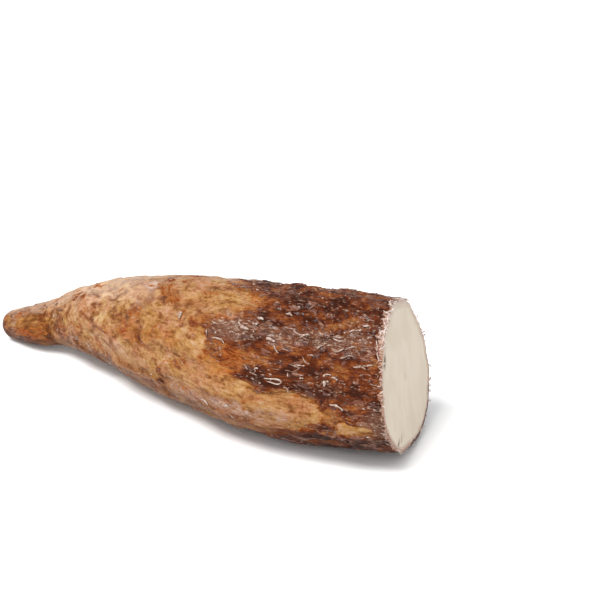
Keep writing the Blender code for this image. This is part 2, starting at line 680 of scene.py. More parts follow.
    def chipped(self, grain: Triple, degrees: float) -> float:
        """Give how far a point lies inside the ragged edge where bark has chipped off at the cut.

        Args:
            grain: the grain of the point.
            degrees: its angle round the root.

        Returns:
            The distance from the edge, below zero where the bark is whole.
        """
        along, side, rise = grain
        share = max(self.chip_bias + self.chips.lift((0.0, side, rise)), 0.0) ** 2
        least, most = self.chip_reach
        more = self.most_chipped.at(degrees) * (self.most_chipped_least + share)
        whole = self.least_chipped.at(degrees)
        return least + more + (most - least) * share - whole - (self.length - along)

    def fine_relief(self, grain: Triple, tones: dict[Tone, float], papery: float, bare: float) -> float:
        """Give the finer relief, which is in the looks alone.

        Args:
            grain: the grain of the point.
            tones: the tones there.
            papery: how far the papery plate stands up there.
            bare: how far the point lies inside the chipped edge.

        Returns:
            How far the bark stands above the broad relief, where the root is thick.
        """
        covered = smoothstep(*self.bark_lip, tones[Tone.OUTER])
        height = self.bark_step * (covered - 0.5)
        height += papery * (self.papery_bare + (1.0 - self.papery_bare) * covered)
        for layer in (self.crumple, self.pucker, self.dimples):
            height += layer.lift(grain, layer.bare + (1.0 - layer.bare) * covered)
        height -= self.spot_depth * max(tones[Tone.SPOT], 0.0) * (1.0 - covered)
        return height - self.chip_depth * smoothstep(*self.chip_lip, bare)

    def lean(self, along: float, degrees: float) -> float:
        """Give how far the bark leans out over the plain cut at one distance and one angle."""
        most = self.rim_swell * abs(math.sin(math.radians(0.5 * (degrees - self.rim_flat))))
        return most * smoothstep(self.length - self.rim_stretch, self.length, along)

    def sample(self, section: Section, degrees: float) -> Sample:
        """Give one point of the bark.

        Args:
            section: the section that the point is on.
            degrees: its angle round the root.

        Returns:
            The point with its grain, its tones and its traces.
        """
        angle = math.radians(degrees)
        lobe = math.cos(self.lobe_count * (angle - math.radians(self.lobe_angle)))
        reach = section.radius * (1.0 + section.lobe * lobe)
        outwards = section.sideways * math.cos(angle) + section.upwards * math.sin(angle)
        smooth = section.middle + outwards * reach
        along = section.along
        grain = (along, reach * math.cos(angle), reach * math.sin(angle))
        tones = self.tones(section, degrees, grain)
        shade, papery = self.papery(grain)
        bare = self.chipped(grain, degrees)
        far, near = self.rim_calm_stretch
        calm = 1.0 - self.rim_calm * smoothstep(self.length - far, self.length - near, along)
        height = self.relief(grain, section.radius) * calm
        height += self.fine_relief(grain, tones, papery, bare) * self.strength(section.radius)
        place = smooth + outwards * (height * smoothstep(0.0, self.rest_band, smooth.z))
        place += self.facing * self.lean(along, degrees)
        place.z = max(place.z, 0.0)
        return Sample(place, grain, tones, shade, bare)


class Graph:
    """A short way to lay out the nodes of one material."""

    def __init__(self, name: str) -> None:
        """Start a material of one name that holds only a Principled shader and its output."""
        self.material = bpy.data.materials.new(name)
        self.material.use_nodes = True
        self.nodes = self.material.node_tree.nodes
        self.links = self.material.node_tree.links
        self.shader = self.nodes["Principled BSDF"]

    def feed(self, socket: Socket, value: Value) -> None:
        """Link a socket into another, or set a plain value on it.

        Args:
            socket: the input.
            value: what goes into it: a socket, a number, a vector or a colour.
        """
        if isinstance(value, Socket):
            self.links.new(value, socket)
        elif socket.type == "RGBA":
            socket.default_value = (*value, 1.0)
        else:
            socket.default_value = value

    def add(self, kind: str, inputs: dict[int | str, Value], **options: str) -> bpy.types.Node:
        """Add a node.

        Args:
            kind: its type, without the prefix that they all have.
            inputs: what goes into its inputs, by their names or numbers.
            options: the node's own settings.

        Returns:
            The node.
        """
        node = self.nodes.new(f"ShaderNode{kind}")
        for name, option in options.items():
            setattr(node, name, option)
        for key, value in inputs.items():
            self.feed(node.inputs[key], value)
        return node

    def set(self, **values: Value) -> None:
        """Feed the shader's sockets, by their names with underscores."""
        for name, value in values.items():
            self.feed(self.shader.inputs[name.replace("_", " ")], value)

    def attribute(self, key: Tone | Trace | Mark, output: str = "Fac") -> Socket:
        """Read what the mesh stores under one name, as a number unless the output is Vector."""
        return self.add("Attribute", {}, attribute_name=key.value).outputs[output]

    def grain(self) -> Socket:
        """Read the grain of the mesh."""
        return self.attribute(Trace.GRAIN, "Vector")

    def along(self, grain: Socket) -> Socket:
        """Take the distance along the root from its grain."""
        return self.add("SeparateXYZ", {0: grain}).outputs["X"]

    def height(self, grain: Socket) -> Socket:
        """Take how high round the root a point lies: 1 on its back and -1 underneath."""
        flat = self.add("VectorMath", {0: grain, 1: (0.0, 1.0, 1.0)}, operation="MULTIPLY")
        turned = self.add("VectorMath", {0: flat.outputs[0]}, operation="NORMALIZE")
        return self.add("SeparateXYZ", {0: turned.outputs[0]}).outputs["Z"]

    def noise(
        self,
        grain: Socket,
        size: Pair | Triple,
        detail: float = 3.0,
        rough: float = 0.55,
        bend: float = 0.0,
    ) -> Socket:
        """Read noise between 0 and 1.

        Args:
            grain: the grain of the mesh.
            size: how long and how wide one feature is, and how high where that differs from the width.
            detail: how many finer layers it has.
            rough: how strong the finer layers are.
            bend: how far it is distorted.

        Returns:
            The noise.
        """
        factors = tuple(1.0 / part for part in (*size, size[-1])[:3])
        place = self.add("VectorMath", {0: grain, 1: factors}, operation="MULTIPLY").outputs[0]
        inputs = {"Vector": place, "Scale": 1.0, "Detail": detail, "Roughness": rough, "Distortion": bend}
        return self.add("TexNoise", inputs).outputs["Fac"]

    def math(self, operation: str, first: Value, second: Value) -> Socket:
        """Combine two numbers by one of Blender's operations."""
        return self.add("Math", {0: first, 1: second}, operation=operation).outputs[0]

    def product(self, first: Value, second: Value) -> Socket:
        """Multiply two numbers."""
        return self.math("MULTIPLY", first, second)

    def total(self, *terms: tuple[Value, float]) -> Socket:
        """Add up numbers.

        Args:
            terms: each number with its weight; a plain number has the number 1 with itself as its weight.

        Returns:
            The sum.
        """
        result = None
        for value, weight in terms:
            part = self.product(value, weight)
            result = part if result is None else self.math("ADD", result, part)
        return result

    def blend(self, share: Value, first: Value, second: Value) -> Socket:
        """Go from the first number to the second as the share goes from 0 to 1."""
        return self.math("ADD", first, self.product(self.math("SUBTRACT", second, first), share))

    def ease(self, value: Value, low: float, high: float, start: float = 0.0, end: float = 1.0) -> Socket:
        """Ease a number from start, where it is at low, to end, where it is at high."""
        inputs = {"Value": value, "From Min": low, "From Max": high, "To Min": start, "To Max": end}
        return self.add("MapRange", inputs, interpolation_type="SMOOTHSTEP").outputs["Result"]

    def ramp(self, value: Socket, stops: Stops) -> Socket:
        """Turn a number into a colour.

        Args:
            value: the number.
            stops: places between 0 and 1, each with its colour.

        Returns:
            The colour.
        """
        node = self.add("ValToRGB", {"Fac": value})
        elements = node.color_ramp.elements
        while len(elements) < len(stops):
            elements.new(0.5)
        for element, (place, colour) in zip(elements, stops):
            element.position = place
            element.color = (*colour, 1.0)
        return node.outputs["Color"]

    def mix(self, share: Value, under: Value, over: Value, blend: str = "MIX") -> Socket:
        """Lay one colour over another.

        Args:
            share: how much of the second one shows.
            under: the first colour.
            over: the second colour.
            blend: the name of Blender's blend mode.

        Returns:
            The mixed colour.
        """
        node = self.add("Mix", {0: share}, data_type="RGBA", blend_type=blend)
        first, second = (socket for socket in node.inputs if socket.type == "RGBA")
        self.feed(first, under)
        self.feed(second, over)
        return next(socket for socket in node.outputs if socket.type == "RGBA")

    def bump(self, height: Socket, depth: float, strength: float = 1.0) -> None:
        """Feed a bump into the shader, from a height between 0 and 1 and the depth that 1 stands for."""
        inputs = {"Strength": strength, "Distance": depth * MM, "Height": height}
        self.set(Normal=self.add("Bump", inputs).outputs["Normal"])


class BarkGraph(Graph):
    """The nodes of the bark, with the noises and tones that its colour, gloss and relief are made of."""

    def __init__(self, name: str) -> None:
        """Start the material and lay out the noises, each stretched along the root."""
        super().__init__(name)
        grain = self.grain()
        along = self.along(grain)
        self.outer, self.spot, self.ochre, self.bloom = (self.attribute(tone) for tone in Tone)
        self.plate = self.attribute(Trace.PLATE)
        self.bare = self.attribute(Trace.BARE)
        self.broad = self.noise(grain, (19.0, 11.0), 3.0, 0.55, 0.5)
        self.cloud = self.noise(grain, (7.5, 5.5), 2.0, 0.5, 0.6)
        self.tint = self.noise(grain, (11.0, 6.5), 2.0, 0.5, 0.9)
        self.patch = self.noise(grain, (5.4, 3.4), 4.0, 0.62, 0.7)
        self.blotch = self.noise(grain, (3.4, 2.8), 2.0, 0.55, 1.0)
        self.pebble = self.noise(grain, (1.7, 1.4), 1.5, 0.5, 0.6)
        self.pepper = self.noise(grain, (1.0, 0.8), 1.0, 0.5, 0.4)
        self.streak = self.noise(grain, (9.0, 1.5), 3.0, 0.55, 0.5)
        self.stroke = self.noise(grain, (1.9, 5.5), 2.0, 0.55, 1.2)
        self.crumb = self.noise(grain, (2.3, 1.1), 4.0, 0.68, 0.4)
        self.fibre = self.noise(grain, (7.5, 0.9), 3.0, 0.60, 0.2)
        self.fleck = self.noise(grain, (1.8, 0.7), 2.0, 0.55, 0.8)
        self.dark = self.ease(self.outer, -0.5, 0.1)
        self.tail = self.ease(along, 115.0, 70.0)
        self.tip = self.ease(along, 42.0, 12.0)
        self.upness = self.height(grain)


@dataclass(frozen=True)
class BarkFinish:
    """The waxed bark: dark outer bark where it is left, and tan under-bark where it has rubbed off.

    Attributes:
        tans: the colours of the under-bark, from the brownest blotch to the palest.
        hues: what its broad clouds of pink and yellow do to them.
        depths: the colours of the outer bark, from its thin edge to the thickest.
        specks: what its fine dark and light specks do to them.
        rind: the pink rind that shows where the bark has chipped off.
        pale: the palest rind.
        amber: what the orange stain does to the colour under it.
        stroke: what a short dark stroke or a fine crack does to it.
        brown: what the brown stain of a spot does to it.
        pit: the bottom of the darkest spots.
        frosts: the colours of the thin wax on the under-bark, from mauve to whitish; on two bloom patches
            they paint a highlight and a reflection.
        hazes: the colours of the clouded wax, from the gaps in it to its brightest crumbs.
        back: the pale colour on the top of the root: pale wax, with painted sheen where the light falls.
        underside_shade: what the painted shade under the root does to the colour there.
        veil: the mauve wax that lies thinly over broad parts of the outer bark.
        glint: the whitish crumbs of wax, painted bright enough to stand for glints as well.
        crack: the bottom of the cracks.
        shine: the tint of what the bare bark mirrors.
        fuzz: the tint of its faint sheen.
        grit: the height of its finest relief.
    """

    tans: Stops = (
        (0.30, paint(124, 74, 38)),
        (0.40, paint(158, 104, 60)),
        (0.49, paint(186, 134, 84)),
        (0.58, paint(198, 150, 104)),
        (0.70, paint(212, 173, 134)),
    )
    hues: Stops = ((0.36, (0.99, 0.88, 1.0)), (0.50, (1.0, 1.0, 1.0)), (0.64, (0.96, 0.97, 0.74)))
    depths: Stops = (
        (0.30, paint(186, 124, 66)),
        (0.42, paint(168, 100, 48)),
        (0.54, paint(148, 80, 38)),
        (0.66, paint(128, 62, 28)),
        (0.82, paint(102, 44, 18)),
        (0.97, paint(72, 28, 9)),
    )
    specks: Stops = ((0.36, (0.60, 0.50, 0.45)), (0.50, (1.0, 1.0, 1.0)), (0.66, (1.30, 1.22, 1.12)))
    rind: Colour = paint(170, 112, 88)
    pale: Colour = paint(224, 190, 170)
    amber: Colour = (0.92, 0.67, 0.38)
    stroke: Colour = (0.57, 0.38, 0.24)
    brown: Colour = (0.52, 0.33, 0.20)
    pit: Colour = paint(84, 44, 27)
    frosts: Stops = (
        (0.0, paint(158, 116, 96)),
        (0.5, paint(188, 150, 132)),
        (1.0, paint(226, 202, 188)),
    )
    hazes: Stops = (
        (0.38, paint(110, 62, 42)),
        (0.50, paint(136, 92, 70)),
        (0.62, paint(162, 120, 98)),
        (0.74, paint(198, 168, 150)),
        (0.90, paint(224, 202, 190)),
    )
    back: Colour = paint(255, 222, 194)
    underside_shade: Colour = (0.60, 0.50, 0.37)
    veil: Colour = paint(154, 114, 98)
    glint: Colour = paint(206, 180, 160)
    crack: Colour = paint(58, 20, 8)
    shine: Colour = (1.0, 0.66, 0.46)
    fuzz: Colour = (0.9, 0.82, 0.8)
    grit: float = 1.1

    def tan(self, bark: BarkGraph) -> Socket:
        """Give the colour of clean under-bark: knobbly at the slim end and streaky at the thick one.

        Args:
            bark: the bark's nodes.

        Returns:
            The colour.
        """
        knobbly = bark.total(
            (bark.blotch, 0.45), (bark.patch, 0.70), (bark.pebble, 0.25), (bark.cloud, 0.75),
            (bark.tip, -0.11), (1.0, -0.585),
        )
        streaky = bark.total(
            (bark.blotch, 0.30), (bark.patch, 0.45), (bark.pebble, 0.35), (bark.cloud, 0.45),
            (bark.streak, 0.40), (1.0, -0.475),
        )
        colour = bark.ramp(bark.blend(bark.tail, streaky, knobbly), self.tans)
        return bark.mix(0.9, colour, bark.ramp(bark.tint, self.hues), "MULTIPLY")

    def marked(self, bark: BarkGraph, colour: Socket) -> Socket:
        """Draw short strokes, fine lines and pepper on the under-bark.

        Args:
            bark: the bark's nodes.
            colour: the colour under them.

        Returns:
            The colour with them.
        """
        clumped = bark.product(bark.ease(bark.stroke, 0.53, 0.70), bark.ease(bark.cloud, 0.60, 0.42))
        strokes = bark.product(clumped, bark.ease(bark.tail, 0.0, 1.0, 0.25, 0.6))
        thin = bark.ease(bark.fibre, 0.42, 0.34)
        lines = bark.product(thin, bark.ease(bark.tail, 1.0, 0.0, 0.1, 0.6))
        pepper = bark.ease(bark.pepper, 0.38, 0.27, 0.0, 0.8)
        for share in (strokes, lines, pepper):
            colour = bark.mix(share, colour, self.stroke, "MULTIPLY")
        return colour

    def stained(self, bark: BarkGraph, colour: Socket) -> Socket:
        """Lay the brown spots on the under-bark.

        Args:
            bark: the bark's nodes.
            colour: the colour under them.

        Returns:
            The colour with them.
        """
        brown = bark.total((bark.spot, 0.8), (bark.patch, 1.1), (bark.pebble, 0.4))
        colour = bark.mix(bark.ease(brown, 0.82, 1.4, 0.0, 0.95), colour, self.brown, "MULTIPLY")
        pit = bark.total((bark.spot, 1.0), (bark.pebble, 0.6))
        return bark.mix(bark.ease(pit, 1.55, 2.00, 0.0, 0.85), colour, self.pit)

    def under_bark(self, bark: BarkGraph) -> Socket:
        """Give the colour of the tan under-bark, with its marks, the painted sheen and pale wax on its top,
        and its thin wax.

        Args:
            bark: the bark's nodes.

        Returns:
            The colour.
        """
        colour = self.stained(bark, self.marked(bark, self.tan(bark)))
        # Painted sheen over pale wax: the top of the slim end is paled, as if lit from above.
        top_sheen_and_wax = bark.total((bark.upness, 1.0), (bark.patch, 0.9), (bark.tip, -0.1), (1.0, -0.45))
        top_sheen_and_wax = bark.product(bark.ease(top_sheen_and_wax, 0.60, 0.98, 0.0, 0.40), bark.tail)
        colour = bark.mix(top_sheen_and_wax, colour, self.back)
        wax = bark.total((bark.bloom, 0.6), (bark.blotch, 0.8), (bark.fleck, 0.5))
        frost = bark.ramp(bark.ease(wax, 0.90, 1.60), self.frosts)
        return bark.mix(bark.ease(wax, 0.85, 1.40, 0.0, 0.85), colour, frost)

    def depth(self, bark: BarkGraph) -> Socket:
        """Give how thick the outer bark is.

        Args:
            bark: the bark's nodes.

        Returns:
            The thickness, in the measure of the depths.
        """
        fine = bark.total((bark.crumb, 0.75), (bark.fibre, 0.55), (1.0, -0.65))
        clouded = bark.product(bark.total((bark.cloud, 0.9), (1.0, -0.45)), bark.dark)
        return bark.total(
            (bark.outer, 0.50), (bark.spot, 0.08), (bark.plate, 0.07), (bark.patch, 1.25), (1.0, -0.125),
            (clouded, 1.0), (bark.product(fine, bark.ease(bark.dark, 0.0, 1.0, 0.25, 1.0)), 1.0),
        )

    def outer_bark(self, bark: BarkGraph, depth: Socket) -> Socket:
        """Give the colour of the dark outer bark.

        Args:
            bark: the bark's nodes.
            depth: how thick it is.

        Returns:
            The colour.
        """
        colour = bark.ramp(depth, self.depths)
        colour = bark.mix(0.8, colour, bark.ramp(bark.fleck, self.specks), "MULTIPLY")
        split = bark.product(bark.ease(bark.fibre, 0.43, 0.34), bark.ease(depth, 0.45, 0.8))
        return bark.mix(split, colour, self.crack)

    def ambered(self, bark: BarkGraph, colour: Socket) -> Socket:
        """Stain the bark orange in its patches and in a halo round the outer bark.

        Args:
            bark: the bark's nodes.
            colour: the colour under the stain.

        Returns:
            The colour with it.
        """
        halo = bark.product(bark.ease(bark.outer, -0.62, -0.2), bark.ease(bark.outer, 0.25, -0.1))
        stain = bark.total((bark.ochre, 0.7), (halo, 0.35), (bark.patch, 1.0), (bark.blotch, 0.6))
        return bark.mix(bark.ease(stain, 0.95, 1.60, 0.0, 0.9), colour, self.amber, "MULTIPLY")

    def waxed(self, bark: BarkGraph, colour: Socket) -> Socket:
        """Lay the wax on the bark: a thin veil, clouded smears and bright crumbs, which are partly painted
        sheen over the bloom patches high on the near side.

        Args:
            bark: the bark's nodes.
            colour: the colour under the wax.

        Returns:
            The colour with it.
        """
        veil = bark.total((bark.bloom, 0.7), (bark.broad, 1.2), (bark.cloud, 0.5))
        veil = bark.product(bark.ease(veil, 1.05, 1.65, 0.0, 0.5), bark.dark)
        colour = bark.mix(veil, colour, self.veil)
        haze = bark.total(
            (bark.bloom, 0.6), (bark.patch, -1.0), (bark.broad, 1.2), (bark.tint, 0.8),
            (bark.crumb, 1.2), (bark.fibre, 0.8),
        )
        haze = bark.product(bark.ease(haze, 1.60, 2.10, 0.0, 0.8), bark.ease(bark.dark, 0.2, 0.9))
        smear = bark.total((bark.fleck, 0.7), (bark.pebble, 0.5), (1.0, -0.1))
        colour = bark.mix(haze, colour, bark.ramp(smear, self.hazes))
        # Whitish wax crumbs, painted bright so that they also stand for glints.
        glint = bark.total((bark.fleck, 1.0), (bark.bloom, 0.07), (bark.dark, 0.05))
        return bark.mix(bark.product(bark.ease(glint, 0.66, 0.75), 0.75), colour, self.glint)

    def colour(self, bark: BarkGraph) -> Socket:
        """Give the colour of the whole bark.

        Args:
            bark: the bark's nodes.

        Returns:
            The colour.
        """
        depth = self.depth(bark)
        outer, under = self.outer_bark(bark, depth), self.under_bark(bark)
        colour = bark.mix(bark.ease(depth, 0.25, 0.42), under, outer)
        colour = self.waxed(bark, self.ambered(bark, colour))
        # Painted shade: the colour darkens towards the underside, where the floor shades the root.
        underside_shade_share = bark.total((bark.upness, 1.0), (bark.blotch, 0.3), (1.0, -0.15))
        colour = bark.mix(bark.ease(underside_shade_share, -0.34, -0.50), colour, self.underside_shade, "MULTIPLY")
        ribs = bark.total((bark.fibre, 0.8), (bark.crumb, 0.7), (bark.fleck, 0.5))
        rind = bark.mix(bark.ease(ribs, 0.86, 1.16), self.rind, self.pale)
        bare = bark.total((bark.bare, 1.0), (bark.crumb, 2.4), (1.0, -1.2))
        return bark.mix(bark.ease(bare, -0.1, 0.15), colour, rind)

    def height(self, bark: BarkGraph) -> Socket:
        """Give the finest relief of the bark: rugged on the outer bark and gentle under it.

        Args:
            bark: the bark's nodes.

        Returns:
            The height.
        """
        rugged = bark.total((bark.patch, 0.6), (bark.crumb, 1.2), (bark.fibre, 0.7), (bark.fleck, 0.35))
        gentle = bark.total((bark.blotch, 0.5), (bark.pebble, 0.35), (bark.stroke, -0.25))
        return bark.total(
            (bark.product(rugged, bark.ease(bark.dark, 0.0, 1.0, 0.15, 1.0)), 1.0),
            (bark.product(gentle, bark.ease(bark.dark, 0.0, 1.0, 1.0, 0.3)), 1.0),
        )

    def build(self) -> bpy.types.Material:
        """Lay out the bark's nodes and return the material."""
        bark = BarkGraph("waxed bark")
        rough = bark.total((bark.dark, 0.10), (bark.ease(bark.crumb, 0.35, 0.65), 0.16), (1.0, 0.36))
        patchy = bark.product(bark.ease(bark.crumb, 0.48, 0.62), bark.dark)
        coat = bark.total((patchy, 0.36), (bark.ease(bark.blotch, 0.42, 0.60), 0.09))
        bark.set(Base_Color=self.colour(bark), Roughness=rough, Coat_Weight=coat)
        bark.bump(self.height(bark), self.grit)
        bark.set(Coat_Roughness=0.16, Coat_IOR=1.36, Specular_IOR_Level=0.08, Specular_Tint=self.shine)
        bark.set(Sheen_Weight=0.03, Sheen_Roughness=0.4, Sheen_Tint=self.fuzz)
        return bark.material


@dataclass(frozen=True)
class PeelFinish:
    """The cut edge of the peel: a thin brown bark outside and the pinkish rind inside.

    Attributes:
        bark: the cut edge of the bark.
        rind: the rind.
        pale: the palest rind.
        line: the darker line in the rind, and the edge where the bark has chipped off.
        slit: the slits in it.
    """

    bark: Colour = paint(100, 46, 27)
    rind: Colour = paint(232, 204, 184)
    pale: Colour = paint(244, 226, 208)
    line: Colour = paint(212, 168, 144)
    slit: Colour = paint(92, 62, 44)

    def build(self) -> bpy.types.Material:
        """Lay out the peel's nodes and return the material."""
        graph = Graph("peel edge")
        grain = graph.grain()
        wander = graph.noise(grain, (2.0, 2.0), 3.0, 0.6)
        inset = graph.total((graph.attribute(Trace.INSET), 1.0), (wander, 0.9), (1.0, -0.45))
        rind = graph.mix(graph.noise(grain, (1.0, 1.0)), self.rind, self.pale)
        line = graph.product(graph.ease(inset, 1.7, 1.95), graph.ease(inset, 2.3, 2.05))
        rind = graph.mix(graph.product(line, 0.6), rind, self.line)
        bark = graph.mix(graph.ease(graph.attribute(Trace.BARE), -0.6, 0.2), self.bark, self.line)
        inside = graph.total((inset, 1.0), (graph.attribute(Trace.EDGE), -1.0))
        colour = graph.mix(graph.ease(inside, -0.1, 0.15), bark, rind)
        colour = graph.mix(graph.attribute(Trace.SLIT), colour, self.slit)
        graph.bump(graph.noise(grain, (0.8, 0.5)), 0.3, 0.8)
        graph.set(Base_Color=colour, Roughness=0.5, Specular_IOR_Level=0.3)
        return graph.material


@dataclass(frozen=True)
class FleshFinish:
    """The starchy cream flesh of the cut face.

    Attributes:
        cream: the flesh.
        shade: its slightly darker clouds and specks.
        strand: the woody strand in its middle.
        slit: the cracks in it.
    """

    cream: Colour = paint(254, 238, 216)
    shade: Colour = paint(247, 230, 205)
    strand: Colour = paint(224, 198, 132)
    slit: Colour = paint(104, 70, 46)

    def build(self) -> bpy.types.Material:
        """Lay out the flesh's nodes and return the material."""
        graph = Graph("cut flesh")
        grain = graph.grain()
        cloud = graph.noise(grain, (7.0, 7.0, 14.0), 2.0, 0.5)
        speck = graph.noise(grain, (1.2, 1.2), 3.0, 0.6)
        colour = graph.mix(graph.ease(cloud, 0.35, 0.65), self.cream, self.shade)
        colour = graph.mix(graph.ease(speck, 0.60, 0.75, 0.0, 0.25), colour, self.shade)
        core = graph.total((graph.attribute(Trace.CORE), 1.0), (speck, 1.5))
        colour = graph.mix(graph.ease(core, 3.2, 1.2, 0.0, 0.4), colour, self.strand)
        colour = graph.mix(graph.attribute(Trace.SLIT), colour, self.slit)
        graph.bump(graph.total((speck, 0.5), (cloud, 0.5)), 0.25, 0.5)
        graph.set(Base_Color=colour, Roughness=0.55, Specular_IOR_Level=0.3)
        return graph.material


@dataclass(frozen=True)
class ScrapFinish:
    """Loose bark or wax: one colour in the middle of each scrap, and another at its edge.

    Attributes:
        name: the material's name.
        tones: the colours of the middle, from the lowest shade to the highest.
        edge: the colour of the edge.
        edge_share: how much of the edge colour shows.
        coat: how glossy the wax is.
    """

    name: str
    tones: Stops
    edge: Colour
    edge_share: float
    coat: float

    def build(self) -> bpy.types.Material:
        """Lay out the scraps' nodes and return the material."""
        graph = Graph(self.name)
        crumb = graph.noise(graph.grain(), (1.6, 0.7), 3.0, 0.65, 0.3)
        shade = graph.total((graph.attribute(Mark.SHADE), 1.0), (crumb, 0.5), (1.0, -0.25))
        rim = graph.total((graph.attribute(Mark.RIM), 1.0), (crumb, 0.5))
        rim = graph.ease(rim, 0.85, 1.15, 0.0, self.edge_share)
        colour = graph.mix(rim, graph.ramp(shade, self.tones), self.edge)
        graph.bump(crumb, 0.3, 0.7)
        graph.set(Base_Color=colour, Roughness=0.4, Specular_IOR_Level=0.35)
        graph.set(Coat_Weight=self.coat, Coat_Roughness=0.15)
        return graph.material


CURLED_BARK = ScrapFinish(
    name="curled bark",
    tones=(
        (0.10, paint(84, 36, 14)),
        (0.45, paint(114, 56, 24)),
        (0.75, paint(128, 70, 40)),
        (0.98, paint(142, 92, 64)),
    ),
    # The paler edge on the lifted side is pale wax, painted bright as a highlight where it curls up.
    edge=paint(176, 138, 114),
    edge_share=0.5,
    coat=0.12,
)
ROLLED_BARK = ScrapFinish(
    name="rolled bark",
    tones=((0.10, paint(118, 76, 56)), (0.50, paint(168, 130, 110)), (0.95, paint(222, 204, 190))),
    # The darker edge paints shade on the sides and underside of each rolled shred, under its pale crest.
    edge=paint(108, 66, 46),
    edge_share=0.75,
    coat=0.3,
)
WAX = ScrapFinish(
    name="wax",
    tones=((0.10, paint(124, 86, 66)), (0.50, paint(164, 132, 114)), (0.90, paint(206, 186, 170))),
    edge=paint(218, 202, 190),
    edge_share=0.5,
    coat=0.4,
)
FRAYED_PEEL = ScrapFinish(
    name="frayed peel",
    tones=((0.10, paint(170, 116, 94)), (0.40, paint(212, 176, 158)), (0.90, paint(238, 222, 212))),
    edge=paint(240, 228, 220),
    edge_share=0.6,
    coat=0.25,
)
DRY_ROOTLET = ScrapFinish(
    name="dry rootlet",
    tones=((0.10, paint(110, 66, 42)), (0.50, paint(160, 116, 88)), (0.90, paint(206, 174, 150))),
    edge=paint(120, 78, 56),
    edge_share=0.5,
    coat=0.1,
)


